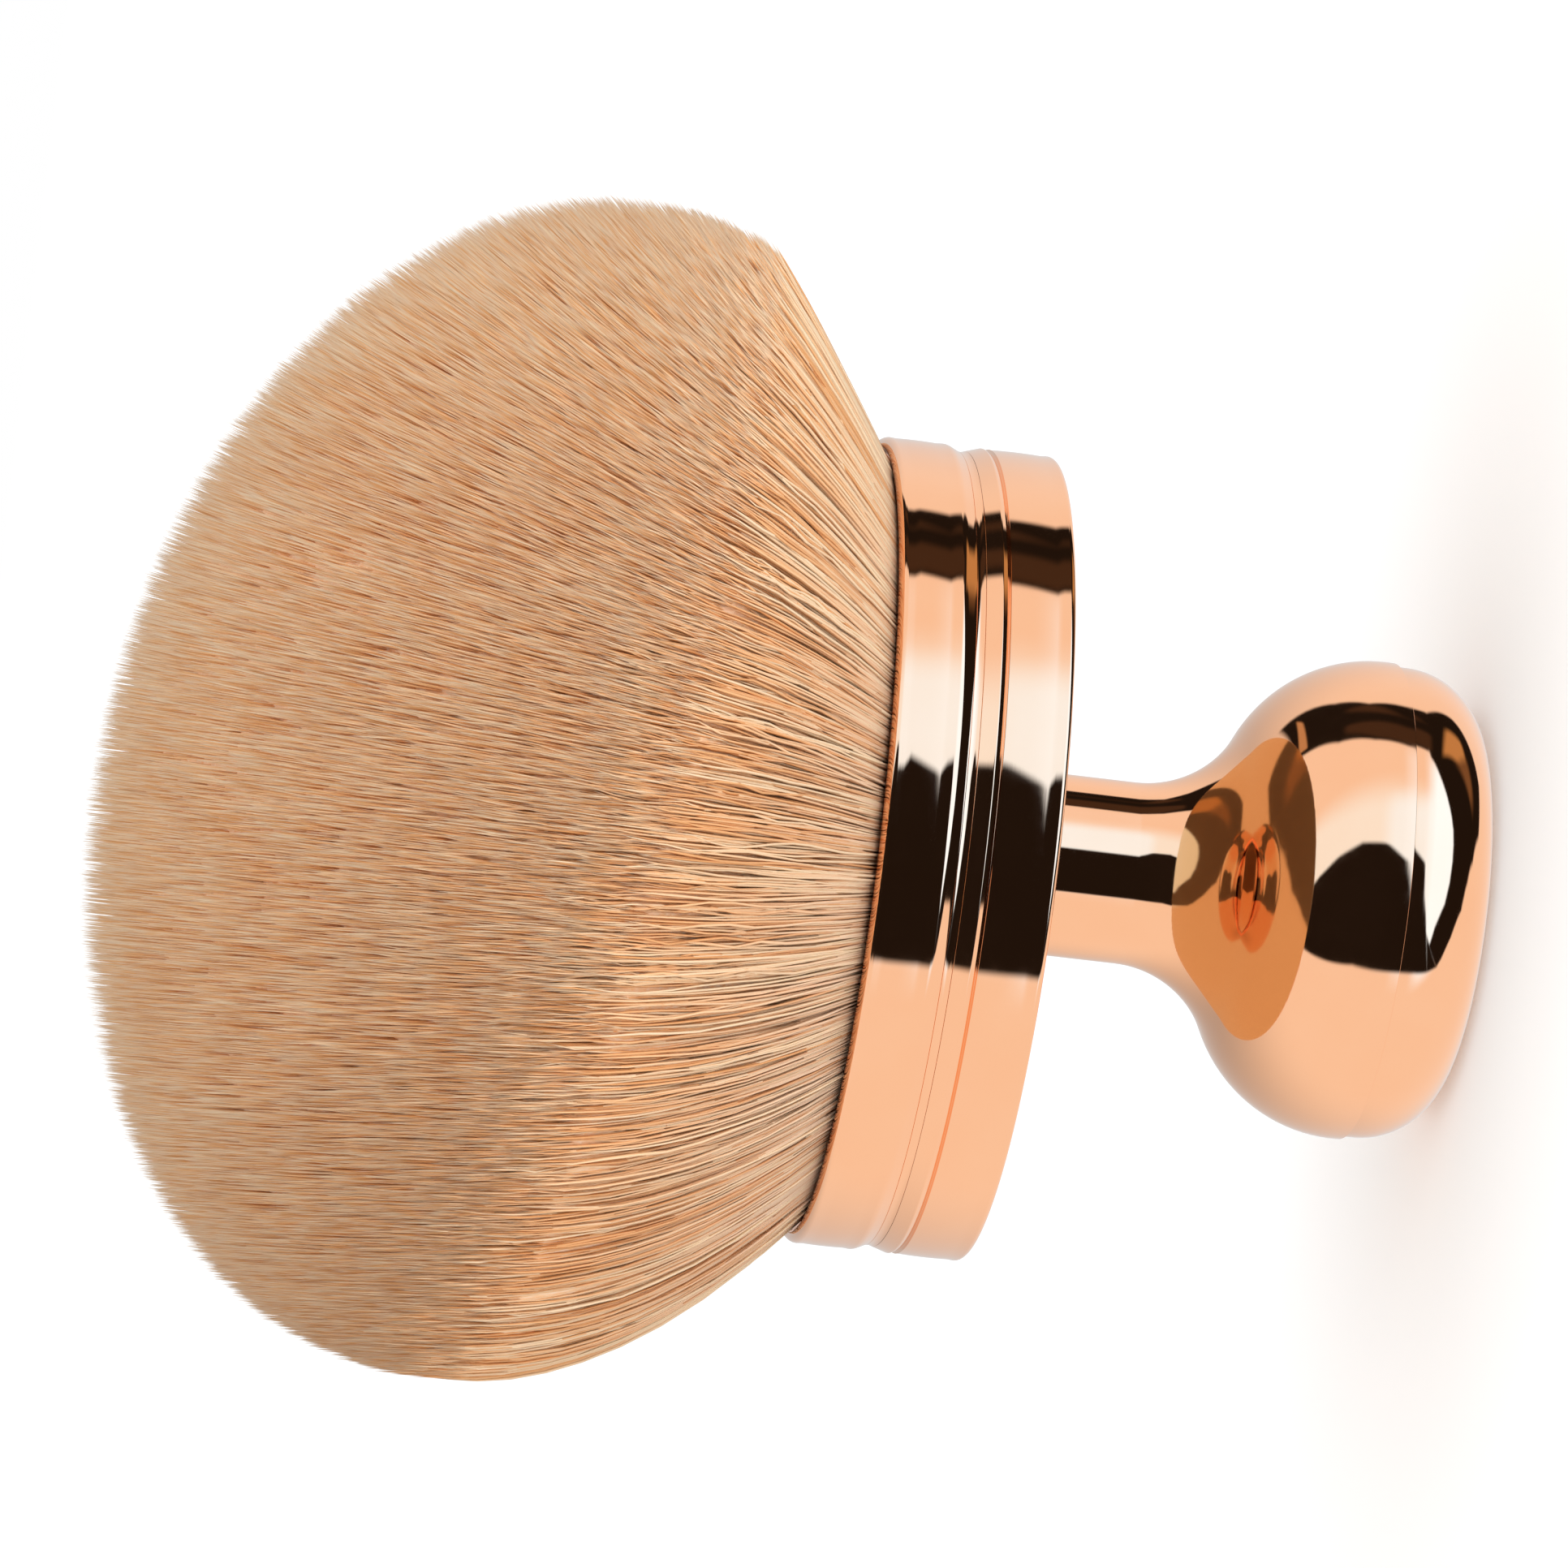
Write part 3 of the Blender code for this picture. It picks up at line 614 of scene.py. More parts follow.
def valley_profile():
    """Points of the valley from the rear band's edge to the front band's edge, worked out from its tilts."""
    bottom = (seam_low.z + seam_high.z) / 2
    places, tilts = zip(*VALLEY_TILTS)
    heights = np.unique(np.concatenate((np.arange(places[0], places[-1], VALLEY_STEP), places)).round(9))
    slopes = np.tan(np.radians(np.interp(heights, places, tilts)))
    drops = np.concatenate(((0,), np.cumsum((slopes[1:] + slopes[:-1]) / 2 * np.diff(heights))))
    drops -= drops[-1] * (heights - heights[0]) / (heights[-1] - heights[0])
    return [(float(rear_high.x - drop), float(bottom + height)) for drop, height in zip(drops, heights)]


def valley_between(low, high):
    """The valley's points between two heights, with one at each end."""
    points = valley_profile()
    radii, heights = zip(*points)
    ends = [(float(np.interp(height, heights, radii)), height) for height in (low, high)]
    inside = [point for point in points if low + HAIRLINE < point[1] < high - HAIRLINE]
    return [ends[0]] + inside + [ends[1]]


def valley_joints():
    """Heights of the two joints in the valley, behind and before the seam ring."""
    gap = seam_low.z - rear_high.z
    return seam_low.z - gap / 2, seam_high.z + gap / 2


class BRUSH_OT_rear_band(bpy.types.Operator):
    """Turns the ferrule's rear band, a cup with a rounded back edge"""

    bl_idname = "brush.rear_band"
    bl_label = "Rear Band"

    def execute(self, context):
        own = sizes()
        radius = rear_high.x
        back = rear_low.z
        recess = own.stem_radius + CLEARANCE
        recess_roof = knob_high.z + CLEARANCE
        floor_top = core_low.z - CLEARANCE
        joint = valley_joints()[0] - HAIRLINE / 2
        valley = valley_between(valley_profile()[0][1], joint - JOINT_BREAK)
        outline = [(SCREW_BORE, recess_roof), (recess, recess_roof), (recess, back)]
        outline += straight((recess, back), (radius - own.back_edge_width, back))
        outline += rounded_back(back, radius)[1:]
        outline += crowned((radius, back + own.back_edge_height), valley[0])[1:]
        outline += valley[1:]
        outline += [(valley[-1][0] - JOINT_BREAK, joint), (radius - own.wall, joint)]
        outline += [(radius - own.wall, floor_top), (SCREW_BORE, floor_top)]
        piece = turned("rear_band_skin", outline)
        dress(piece, rose_gold(), "rear_ferrule")
        # The flat back gets the deeper copy of the metal: painted shade
        piece.data.materials.append(shaded_back_rose_gold())
        for face in piece.data.polygons:
            if face.center.z < back + HAIRLINE:
                face.material_index = 1
        return {"FINISHED"}


class BRUSH_OT_seam(bpy.types.Operator):
    """Turns the thin metal ring at the bottom of the valley between the bands"""

    bl_idname = "brush.seam"
    bl_label = "Seam Ring"

    def execute(self, context):
        inner = rear_high.x - sizes().wall
        low, high = valley_joints()
        low += HAIRLINE / 2
        high -= HAIRLINE / 2
        valley = valley_between(low + JOINT_BREAK, high - JOINT_BREAK)
        outline = [(inner, low), (valley[0][0] - JOINT_BREAK, low)] + valley
        outline += [(valley[-1][0] - JOINT_BREAK, high), (inner, high)]
        dress(turned("seam_ring_skin", outline), rose_gold(), "seam_ring")
        return {"FINISHED"}


class BRUSH_OT_front_band(bpy.types.Operator):
    """Turns the ferrule's front band with its rolled lip, the bevel inside its mouth and its spigot"""

    bl_idname = "brush.front_band"
    bl_label = "Front Band"

    def execute(self, context):
        own = sizes()
        radius = front_high.x
        mouth = front_high.z
        spigot = radius - own.wall - CLEARANCE
        bore = spigot - own.wall
        joint = valley_joints()[1] + HAIRLINE / 2
        valley = valley_between(joint + JOINT_BREAK, valley_profile()[-1][1])
        lip = radius - own.lip_radius
        outline = [(bore, front_low.z), (spigot, front_low.z), (spigot, joint)]
        outline += [(valley[0][0] - JOINT_BREAK, joint)] + valley
        outline += crowned(valley[-1], (radius, mouth - own.lip_radius))[1:-1]
        outline += arc((lip, mouth - own.lip_radius), own.lip_radius, 0, 90)
        outline += arc((lip, mouth - LIP_EDGE), LIP_EDGE, 90, 180, EDGE_ARC_STEP)[1:]
        outline += [(bore, mouth - LIP_EDGE - own.mouth_bevel)]
        dress(turned("front_band_skin", outline), rose_gold(), "front_ferrule")
        return {"FINISHED"}


class BRUSH_OT_inner_parts(bpy.types.Operator):
    """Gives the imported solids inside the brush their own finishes"""

    bl_idname = "brush.inner_parts"
    bl_label = "Inner Parts"

    def execute(self, context):
        own = colours()
        steel = zinc_plated()
        finishes = {
            "root_adhesive": moulded("cast_adhesive", own.adhesive, 0.3, *ADHESIVE_GRAIN),
            "ferrule_core": moulded("moulded_core", own.plastic, 0.5, *CORE_GRAIN),
            "cap_seal_ring": moulded("seal_rubber", own.rubber, 0.7, *SEAL_GRAIN),
            "hex_nut": steel,
            "tie_screw": steel,
            "lock_washer": steel,
            "flat_washer": steel,
            "knob_weight": steel,
        }
        for name, finish in finishes.items():
            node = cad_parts[name]
            node.data.materials.clear()
            node.data.materials.append(finish)
        return {"FINISHED"}


def lean_matrix():
    return np.array(Matrix.Rotation(tuft().dome_lean, 3, "Y"))


def dome_centre():
    return np.array((tuft().dome_shift, 0, front_high.z + tuft().dome_rise))


def on_dome(share, around):
    """Points of the leaning dome. Share runs from 0 at its top to 1 at the outermost tips."""
    own = tuft()
    angle = own.edge_angle * share
    across = own.dome_radius * np.sin(angle)
    height = own.dome_half_height * np.cos(angle)
    local = np.stack((across * np.cos(around), across * np.sin(around), height), 1)
    return local @ lean_matrix().T + dome_centre()


def smooth_field(points, seed, scale):
    """A soft random vector for each point that neighbours share, from a few crossing waves."""
    rng = np.random.default_rng(seed)
    result = np.zeros_like(points)
    for _ in range(FIELD_WAVES):
        wave = rng.normal(size=3) * scale
        shift = rng.uniform(0, math.tau, 3)
        direction = rng.normal(size=3)
        result += np.sin(points @ wave + shift[0])[:, None] * direction * FIELD_LEVEL
    return result


def mouth_points(share, around):
    """Where bristles leave the ferrule, for their share of the mouth's radius and their azimuth."""
    radius = front_high.x - sizes().lip_radius - LIP_EDGE - tuft().mouth_clearance
    height = np.full(len(share), front_high.z)
    return np.stack((radius * share * np.cos(around), radius * share * np.sin(around), height), 1)


def on_path(mouth, tip, around, place):
    """Points of bowed paths from the mouth, at place 0, to the tips, at place 1."""
    own = tuft()
    bow = own.bow - own.bow_swing * np.cos(around)
    run = tip - mouth
    outward = run * np.array((1, 1, 0))
    return mouth + run * place[:, None] + outward * (bow * place * (1 - place))[:, None]


def held_normal(rng, size):
    """Normal random numbers, held within the spread's limit."""
    return np.clip(rng.normal(size=size), -SPREAD_LIMIT, SPREAD_LIMIT)


class Combing:
    """The paths of many bristles, each a little off its neat place."""

    def __init__(self, share, around, rng, wave):
        own = tuft()
        count = len(share)
        self.around = around
        self.mouth = mouth_points(share, around)
        neat = on_dome(share, around)
        outward = neat - dome_centre()
        outward /= np.linalg.norm(outward, axis=1)[:, None]
        proud = (PROUD_SHARE - np.clip(rng.exponential(size=count), 0, FUZZ_LIMIT)) * own.fuzz
        stray = held_normal(rng, (count, 3)) * own.stray
        stray += smooth_field(neat, own.seed + 1, 1 / own.clump_width) * own.clump
        stray -= outward * np.sum(stray * outward, axis=1)[:, None]
        self.tip = neat + outward * proud[:, None] + stray
        run = self.tip - self.mouth
        self.length = np.linalg.norm(run, axis=1)
        shorter = np.abs(held_normal(rng, count)) * own.uneven_ends * share**UNEVEN_ENDS_POWER
        self.tip -= run * (shorter / self.length)[:, None]
        self.side = np.cross(run, outward)
        self.side /= np.linalg.norm(self.side, axis=1)[:, None] + TINY
        self.waves = rng.uniform(*SWINGS_ALONG, count)
        self.phase = rng.uniform(0, math.tau, count)
        self.wave = wave * held_normal(rng, count)
        tone_field = smooth_field(neat, own.seed + 2, 1 / own.clump_width)[:, 0]
        self.tone = np.clip(rng.beta(TONE_SPREAD, TONE_SPREAD, count) + SHARED_TONE * tone_field, 0, 1)

    def points(self, place):
        """Where each bristle is at its place, from 0 at the mouth to 1 at the tip."""
        own = tuft()
        neat = on_path(self.mouth, self.tip, self.around, place)
        along = np.clip(place, 0, 1)
        free = along * (1 - TIP_HOLD * along)
        swing = np.sin(self.waves * math.tau * place + self.phase) * self.wave * free * SWING_GAIN
        together = smooth_field(neat, own.seed + 3, 1 / own.wave_width) * own.wave * SHARED_SWING_GAIN
        return neat + self.side * swing[:, None] + together * free[:, None]


def strand_mesh(name, rings, radii, tips, tone, from_tip):
    """One mesh of many closed three-sided bristles, from their ring centres, radii and tips."""
    count, levels, _ = rings.shape
    along = np.diff(np.concatenate((rings, tips[:, None]), 1), axis=1)
    along /= np.linalg.norm(along, axis=2)[:, :, None] + TINY
    side = np.cross(along, np.array(OFF_AXIS))
    side /= np.linalg.norm(side, axis=2)[:, :, None] + TINY
    other = np.cross(along, side)
    corners = []
    for corner in range(CORNERS):
        angle = math.tau * corner / CORNERS
        offset = side * math.cos(angle) + other * math.sin(angle)
        corners.append(rings + offset * radii[:, :, None])
    body = np.stack(corners, 2).reshape(count, levels * CORNERS, 3)
    verts = np.concatenate((body, tips[:, None]), 1).reshape(-1, 3)
    per_strand = levels * CORNERS + 1

    quads = []
    for level in range(levels - 1):
        low = level * CORNERS
        high = low + CORNERS
        for corner in range(CORNERS):
            after = (corner + 1) % CORNERS
            quads.append((low + corner, low + after, high + after, high + corner))
    last = (levels - 1) * CORNERS
    ends = [(last + corner, last + (corner + 1) % CORNERS, last + CORNERS) for corner in range(CORNERS)]
    ends.append((2, 1, 0))
    starts = np.arange(count)[:, None, None] * per_strand
    quad_loops = (starts + np.array(quads)[None]).reshape(-1)
    end_loops = (starts + np.array(ends)[None]).reshape(-1)

    mesh = bpy.data.meshes.new(name)
    mesh.vertices.add(len(verts))
    mesh.vertices.foreach_set("co", verts.astype(np.float32).ravel())
    loops = np.concatenate((quad_loops, end_loops)).astype(np.int32)
    mesh.loops.add(len(loops))
    mesh.loops.foreach_set("vertex_index", loops)
    quad_count = count * len(quads)
    end_count = count * len(ends)
    mesh.polygons.add(quad_count + end_count)
    totals = np.concatenate((np.full(quad_count, 4), np.full(end_count, 3))).astype(np.int32)
    loop_starts = np.concatenate(((0,), np.cumsum(totals)[:-1])).astype(np.int32)
    mesh.polygons.foreach_set("loop_start", loop_starts)
    mesh.polygons.foreach_set("use_smooth", np.ones(quad_count + end_count, bool))

    for key, values in (("tone", tone), ("from_tip", from_tip)):
        layer = mesh.attributes.new(key, "FLOAT", "POINT")
        spread = np.concatenate((np.repeat(values[:, :levels], CORNERS, 1), values[:, levels:]), 1)
        layer.data.foreach_set("value", spread.astype(np.float32).ravel())
    lay_out_strands(mesh, count, levels)
    mesh.update()
    mesh.validate()
    return new_object(name, mesh)


def lay_out_strands(mesh, count, levels):
    """Gives every bristle its own tall cell in the bake's UV map, with its length along V."""
    cell_ratio = 3
    margin_share = 0.16
    root_face = ((0.3, 0.0), (0.5, 0.02), (0.7, 0.0))
    columns = math.ceil(math.sqrt(count * cell_ratio))
    rows = math.ceil(count / columns)
    local_quads = []
    for level in range(levels - 1):
        for corner in range(CORNERS):
            left, right = corner / CORNERS, (corner + 1) / CORNERS
            low, high = level / levels, (level + 1) / levels
            local_quads.append(((left, low), (right, low), (right, high), (left, high)))
    low = (levels - 1) / levels
    local_ends = []
    for corner in range(CORNERS):
        left, middle, right = corner / CORNERS, (corner + 0.5) / CORNERS, (corner + 1) / CORNERS
        local_ends.append(((left, low), (right, low), (middle, 1)))
    local_ends.append(root_face)
    index = np.arange(count)
    corner_at = np.stack((index % columns, index // columns), 1)[:, None, None]
    cell = np.array((1 / columns, 1 / rows))
    parts = []
    for local in (np.array(local_quads), np.array(local_ends)):
        inside = margin_share / 2 + local[None] * (1 - margin_share)
        parts.append(((corner_at + inside) * cell).reshape(-1, 2))
    layer = mesh.uv_layers.new(name="OFBake")
    layer.data.foreach_set("uv", np.concatenate(parts).astype(np.float32).ravel())


def bristle_radii(distance):
    """Half the width of a bristle at each distance from its tip."""
    own = tuft()
    grown = np.clip(distance / own.taper, 0, 1) ** TAPER_POWER
    return (own.tip_width + (own.hair_width - own.tip_width) * grown) / 2


def comb(name, share, around, shown, levels, rng, wave, paler):
    """Bristles as one mesh, each drawn over its shown length up to its tip."""
    paths = Combing(share, around, rng, wave)
    start = 1 - np.minimum(shown, paths.length + ROOT_OVERLAP) / paths.length
    rings = []
    distances = []
    for fraction in np.linspace(0, 1, levels + 1) ** RING_SPACING_POWER:
        place = start + (1 - start) * fraction
        rings.append(paths.points(place))
        distances.append(paths.length * (1 - place))
    distance = np.stack(distances, 1)
    rings = np.stack(rings, 1)
    tone = np.clip(paths.tone + paler, 0, 1)[:, None] * np.ones(levels + 1)
    radii = bristle_radii(distance) * rng.uniform(*WIDTH_SPREAD, len(share))[:, None]
    return strand_mesh(name, rings[:, :-1], radii[:, :-1], rings[:, -1], tone, distance)


class BRUSH_OT_tuft_core(bpy.types.Operator):
    """Turns the dense mass of filaments that shows between the bristles, and leans its dome"""

    bl_idname = "brush.tuft_core"
    bl_label = "Tuft Core"

    def execute(self, context):
        own = tuft()
        mouth = front_high.z
        rim = front_high.x * own.core_share
        root_radius = front_high.x - 2 * sizes().wall - 2 * CLEARANCE
        root_height = glue_high.z + CLEARANCE
        core_top = mouth + MM * CORE_RINGS
        outline = [(0, root_height), (root_radius, root_height), (root_radius, mouth - sizes().mouth_bevel)]
        outline += [(rim, mouth + MM * step) for step in range(CORE_RINGS + 1)]
        outline += [(rim * (1 - step / CORE_RINGS), core_top) for step in range(1, CORE_RINGS + 1)]
        piece = turned("tuft_core", outline, closed=False, sides=HIDDEN_SIDES)
        above = [vert for vert in piece.data.vertices if vert.co.z > mouth - HAIRLINE]
        share = np.array([vert.co.xy.length / front_high.x for vert in above])
        around = np.array([math.atan2(vert.co.y, vert.co.x) for vert in above])
        place = np.array([(vert.co.z - mouth) / (MM * CORE_RINGS) for vert in above])
        low = mouth_points(share, around)
        tip = on_dome(share, around)
        inset = np.interp(share, CORE_INSET_SHARES, (own.core_inset_middle, own.core_inset))
        reach = 1 - inset / np.linalg.norm(tip - low, axis=1)
        for vert, spot in zip(above, on_path(low, tip, around, place * reach)):
            vert.co = spot
        dress(piece, packed_filament(), "bristle_tuft")
        return {"FINISHED"}


class BRUSH_OT_bristles(bpy.types.Operator):
    """Combs the bristles out of the ferrule's mouth, wedge by wedge"""

    bl_idname = "brush.bristles"
    bl_label = "Bristles"

    def execute(self, context):
        own = tuft()
        rng = np.random.default_rng(own.seed)
        finish = filament()
        everything = math.inf
        kinds = (
            # name, pieces, bristles, least and most share of the mouth, shown length, rings, wave, paler by
            ("outer", 4, own.long_count, 0.87, 1.0, everything, 9, own.wave, 0.06),
            ("inner", 7, own.short_count, 0.0, 0.95, own.shown_length, 3, own.wave, 0.0),
            ("loose", 1, own.loose_count, 0.99, 1.01, everything, 12, own.loose_wave, 0.4),
        )
        for kind, pieces, total, least, most, shown, levels, wave, paler in kinds:
            if kind == "outer":
                share = most - (most - least) * rng.uniform(0, 1, total) ** OUTWARD_POWER
            else:
                share = np.sqrt(rng.uniform(least**2, most**2, total))
            around = rng.uniform(-math.pi, math.pi, total)
            for part in range(pieces):
                low = -math.pi + math.tau * part / pieces
                inside = (around >= low) & (around < low + math.tau / pieces)
                name = f"bristles_{kind}_{part + 1}"
                piece = comb(name, share[inside], around[inside], shown, levels, rng, wave, paler)
                dress(piece, finish, "bristle_tuft")
        return {"FINISHED"}


# What the polished metal mirrors, by direction. The corners are azimuth, from the camera's side towards +X,
# and elevation, in degrees. Each zone is one or more convex patches with soft edges, painted over those
# before it.
REFLECTED_LEVEL = (1.0, 1.0, 1.0)
SHADED_SIDE = (-170, 25)
SHADED_LEVEL = (0.50, 0.50, 0.50)
SHADED_FROM = 0.3
SHADED_POWER = 2.0
WINDOW = (1.02, 1.42, 1.85)
WINDOW_BRIGHT = (1.02, 1.62, 2.4)
WINDOW_GLARE = (1.12, 1.9, 3.0)
BROWN_FRAME = (0.06, 0.038, 0.024)
DIM_AMBER = (0.20, 0.12, 0.06)
DARK_FRAME = (0.015, 0.012, 0.010)
AMBER = (0.56, 0.36, 0.16)
FRAME_CORNER = (0.55, 0.36, 0.2)
DIM_ROOM = (0.40, 0.20, 0.08)
FRAME_ROUND_WINDOW = (
    [(82, -12), (110, -12), (111, 5), (85, 8)],
    [(85, 8), (111, 5), (120, 17), (92, 27)],
    [(92, 27), (120, 17), (141, 33), (112, 47), (105, 42)],
    [(79, -13), (82, -12), (110, -12), (124, -30), (63.5, -32.5)],
    [(63.5, -32.5), (124, -30), (132, -43), (58, -38.5)],
    [(58, -38.5), (132, -43), (140, -53), (54, -42)],
    [(54, -42), (140, -53), (134, -68), (97, -77), (49, -45.3)],
    [(49, -45.3), (97, -77), (46, -78), (41, -47.8)],
    [(41, -47.8), (46, -78), (20, -76), (31, -49)],
    [(31, -49), (20, -76), (2, -74), (17, -48)],
    [(17, -48), (2, -74), (-19, -61), (4, -44)],
    [(4, -44), (-19, -61), (-30, -49), (-9, -33)],
    [(-9, -33), (-30, -49), (-33, -43), (-19, -28)],
)
ROOM_OVER_WINDOW = (
    [(-30, 72), (29, 69.5), (29, 89.9), (-30, 89.9)],
    [(29, 69.5), (55, 65.5), (55, 89.9), (29, 89.9)],
    [(55, 65.5), (92, 54), (92, 89.9), (55, 89.9)],
    [(92, 54), (112, 45), (125, 89.9), (92, 89.9)],
)
DARK_BLOCK = (
    [(-32, -14), (-32, 18), (29.4, 21), (29, 3), (22, -11), (6, -14)],
    [(-32, 18), (-42, 65), (-22, 68), (0, 62), (13, 53), (23.5, 39), (29.4, 21)],
    [(-32, -14), (6, -14), (-12, -22), (-33, -30)],
    [(-33, -30), (-12, -22), (-16, -27), (-33, -44)],
)
REFLECTED_ZONES = (
    # colour, softness in degrees, patches
    (WINDOW, 11, [[(-20, -12), (58, -12), (50, 60), (-20, 80)]]),
    (WINDOW_BRIGHT, 7, [[(-28, -20), (58, -20), (50, 3), (-28, 3)]]),
    (WINDOW_GLARE, 8, [[(-36, -14), (80, -14), (72, -32), (54, -56), (14, -58), (-30, -38)]]),
    (DARK_FRAME, 1.5, FRAME_ROUND_WINDOW),
    (BROWN_FRAME, 2.5, [[(83, -14), (95, -14), (98, 6), (101, 20), (95, 22), (86, 6)]]),
    (BROWN_FRAME, 2.5, [[(101, -14), (109, -13), (110, 4), (118, 16), (109, 16), (103, 4)]]),
    (FRAME_CORNER, 0.8, [[(131, 30.5), (126, 30.6), (108, 40), (112, 44)]]),
    (DIM_AMBER, 5, [[(94, -40), (115, -45), (114, -58), (102, -62)]]),
    (AMBER, 3, [[(86, -26), (107, -27), (117, -40), (113, -46), (97, -42)]]),
    (DIM_ROOM, 2, ROOM_OVER_WINDOW),
    (DARK_FRAME, 1.5, DARK_BLOCK),
)


def soft_patch(nodes, place, corners, soft):
    """1 inside a convex patch of directions and 0 outside, with soft edges."""
    middle = sum((Vector(corner) for corner in corners), Vector((0, 0))) / len(corners)
    share = 1.0
    for start, end in zip(corners, corners[1:] + corners[:1]):
        run = (Vector(end) - Vector(start)).normalized()
        inward = Vector((-run.y, run.x))
        if inward.dot(middle - Vector(start)) < 0:
            inward = -inward
        distance = nodes.dot(place, (inward.x, inward.y, -inward.dot(Vector(start))))
        share = nodes.math("MULTIPLY", share, nodes.rescale(distance, -soft, soft, 0, 1, smooth=True))
    return share


def aimed(azimuth, elevation):
    """The direction that an azimuth and an elevation in degrees stand for."""
    flat = math.cos(math.radians(elevation))
    return (
        flat * math.sin(math.radians(azimuth)),
        -flat * math.cos(math.radians(azimuth)),
        math.sin(math.radians(elevation)),
    )


def reflected_world(nodes):
    """The studio as the metal mirrors it: pale walls, a window and dark frames."""
    direction = nodes.add("ShaderNodeTexCoord").outputs["Generated"]
    parts = nodes.add("ShaderNodeSeparateXYZ")
    nodes.feed(parts.inputs[0], direction)
    away = nodes.math("MULTIPLY", parts.outputs["Y"], -1.0)
    place = nodes.add("ShaderNodeCombineXYZ")
    nodes.feed(place.inputs["X"], nodes.math("DEGREES", nodes.math("ARCTAN2", parts.outputs["X"], away)))
    nodes.feed(place.inputs["Y"], nodes.math("DEGREES", nodes.math("ARCSINE", parts.outputs["Z"])))
    place.inputs["Z"].default_value = 1
    shade = nodes.rescale(nodes.dot(direction, aimed(*SHADED_SIDE)), SHADED_FROM, 1.0, 0, 1)
    result = nodes.mix(nodes.math("POWER", shade, SHADED_POWER), REFLECTED_LEVEL, SHADED_LEVEL)
    for tint, soft, patches in REFLECTED_ZONES:
        share = 0.0
        for corners in patches:
            patch = soft_patch(nodes, place.outputs["Vector"], corners, soft)
            share = nodes.math("ADD", share, patch, clamp=True)
        result = nodes.mix(share, result, tint)
    return result


def make_world():
    """Even soft light for the bristles, the studio for the metal, and white behind for the camera."""
    world = bpy.data.worlds.new("soft_studio")
    bpy.context.scene.world = world
    world.use_nodes = True
    nodes = Nodes(world.node_tree)
    background = world.node_tree.nodes["Background"]
    rays = nodes.add("ShaderNodeLightPath")
    level = [studio().soft_light] * 3
    seen = nodes.mix(rays.outputs["Is Glossy Ray"], level, reflected_world(nodes))
    seen = nodes.mix(rays.outputs["Is Camera Ray"], seen, (1, 1, 1))
    nodes.feed(background.inputs["Color"], seen)


def make_floor():
    """A plain pale floor that shows white to the camera and keeps the brush's shadow."""
    deselect_all()
    bpy.ops.mesh.primitive_plane_add(size=FLOOR_WIDTH, location=(0, 0, 0))
    floor = bpy.context.object
    floor.name = "floor"
    made, nodes = new_finish("pale_floor")
    seen = nodes.add("ShaderNodeLightPath").outputs["Is Camera Ray"]
    looks = {
        "Base Color": (0.9, 0.9, 0.9, 1),
        "Roughness": 0.9,
        "Specular IOR Level": 0,
        "Emission Color": (1, 1, 1, 1),
        "Emission Strength": nodes.math("MULTIPLY", seen, FLOOR_GLOW),
    }
    floor.data.materials.append(finished(made, nodes, looks))
    floor.visible_glossy = False


def make_camera():
    """The photograph's camera, on the brush's -Y side, rolled so that the brush lies on its side."""
    own = studio()
    back = Vector((0, -math.cos(own.elevation), math.sin(own.elevation)))
    up = Vector((0, math.sin(own.elevation), math.cos(own.elevation)))
    right = Vector((1, 0, 0))
    across = right * math.sin(own.roll) - up * math.cos(own.roll)
    upward = right * math.cos(own.roll) + up * math.sin(own.roll)
    place = Vector((own.target_side, 0, own.target_height)) + back * own.distance
    data = bpy.data.cameras.new("camera")
    data.lens = own.focal_pixels / PHOTO_WIDTH * data.sensor_width
    data.clip_start = NEAREST_SEEN
    camera = new_object("camera", data)
    turn = Matrix((across, upward, back)).transposed().to_4x4()
    camera.matrix_world = Matrix.Translation(place) @ turn
    bpy.context.scene.camera = camera


def make_key():
    """A large soft lamp beside the camera, over the lying brush. The metal doesn't mirror it."""
    data = bpy.data.lights.new("key", "AREA")
    data.shape = "SQUARE"
    data.size = KEY_WIDTH
    data.energy = studio().key_power
    lamp = new_object("key", data)
    target = Vector((0, 0, studio().target_height))
    away = Vector(KEY_DIRECTION).normalized() * KEY_DISTANCE
    turn = away.to_track_quat("Z", "Y").to_matrix().to_4x4()
    lamp.matrix_world = Matrix.Translation(target + away) @ turn
    lamp.visible_glossy = False


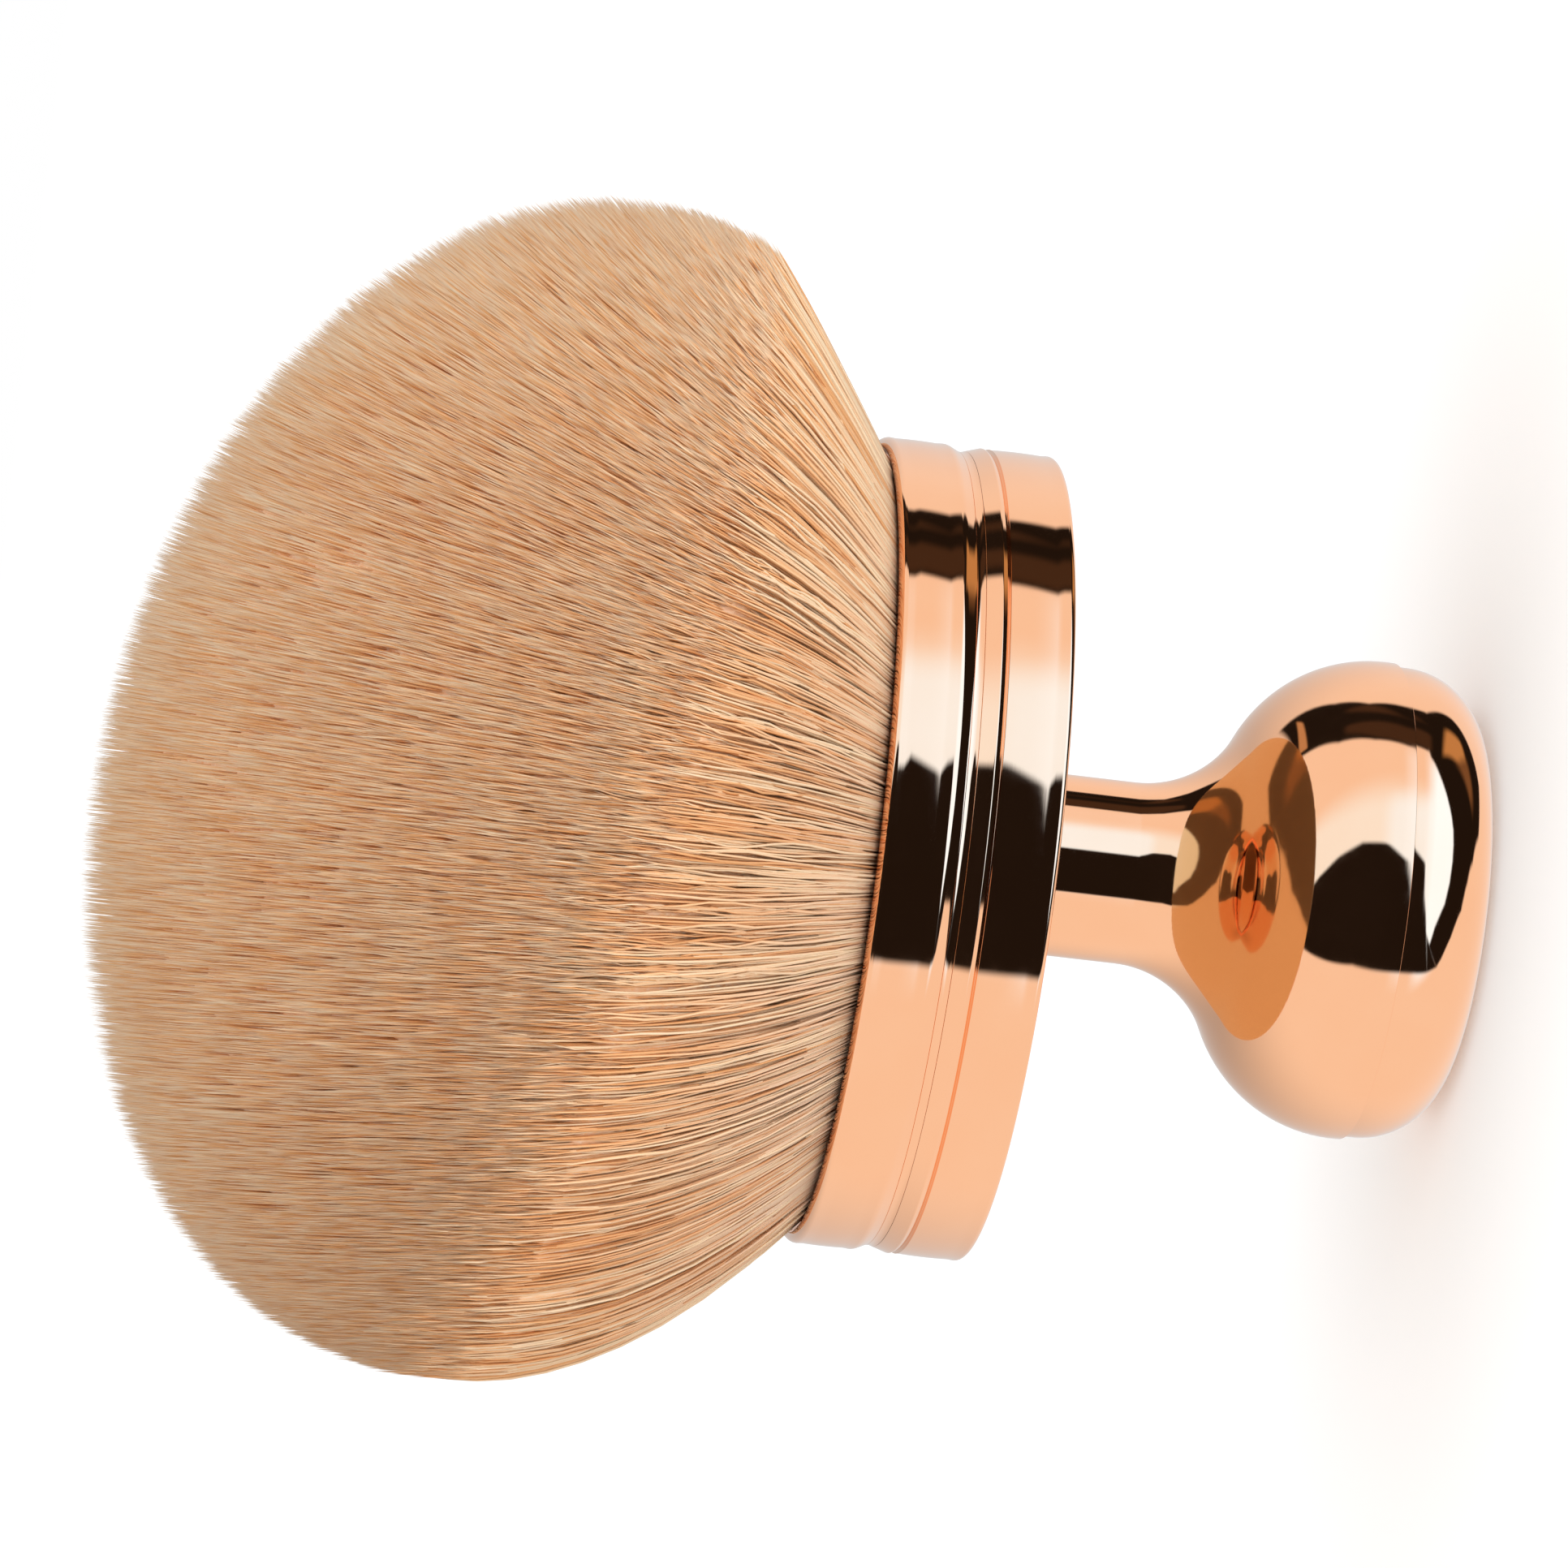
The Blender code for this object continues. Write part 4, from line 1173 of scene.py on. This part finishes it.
class BRUSH_OT_studio(bpy.types.Operator):
    """Sets the camera, the soft light and the floor"""

    bl_idname = "brush.studio"
    bl_label = "Studio"

    def execute(self, context):
        make_world()
        make_floor()
        make_camera()
        make_key()
        context.scene.view_settings.view_transform = "Standard"
        return {"FINISHED"}


class BRUSH_PT_panel(bpy.types.Panel):
    """Lists the brush's pieces and their settings"""

    bl_idname = "BRUSH_PT_panel"
    bl_label = "Powder Brush"
    bl_space_type = "VIEW_3D"
    bl_region_type = "UI"
    bl_category = "Powder Brush"

    def draw(self, context):
        for operator in OPERATORS:
            self.layout.operator(operator.bl_idname)
        for group in (sizes(), tuft(), colours(), studio()):
            box = self.layout.box()
            for key in group.__annotations__:
                box.prop(group, key)


OPERATORS = (
    BRUSH_OT_studio,
    BRUSH_OT_end_cap,
    BRUSH_OT_handle,
    BRUSH_OT_rear_band,
    BRUSH_OT_seam,
    BRUSH_OT_front_band,
    BRUSH_OT_inner_parts,
    BRUSH_OT_tuft_core,
    BRUSH_OT_bristles,
)
GROUPS = {
    "brush_sizes": BrushSizes,
    "brush_tuft": TuftSettings,
    "brush_colours": FinishColours,
    "brush_studio": StudioSettings,
}


def register():
    for group in GROUPS.values():
        bpy.utils.register_class(group)
    for operator in OPERATORS:
        bpy.utils.register_class(operator)
    bpy.utils.register_class(BRUSH_PT_panel)
    for name, group in GROUPS.items():
        setattr(bpy.types.Scene, name, bpy.props.PointerProperty(type=group))


def unregister():
    for name in GROUPS:
        delattr(bpy.types.Scene, name)
    bpy.utils.unregister_class(BRUSH_PT_panel)
    for operator in reversed(OPERATORS):
        bpy.utils.unregister_class(operator)
    for group in GROUPS.values():
        bpy.utils.unregister_class(group)


def main():
    register()
    bpy.ops.brush.studio()
    bpy.ops.brush.end_cap()
    bpy.ops.brush.handle()
    bpy.ops.brush.rear_band()
    bpy.ops.brush.seam()
    bpy.ops.brush.front_band()
    bpy.ops.brush.inner_parts()
    bpy.ops.brush.tuft_core()
    bpy.ops.brush.bristles()


if __name__ == "__main__":
    main()
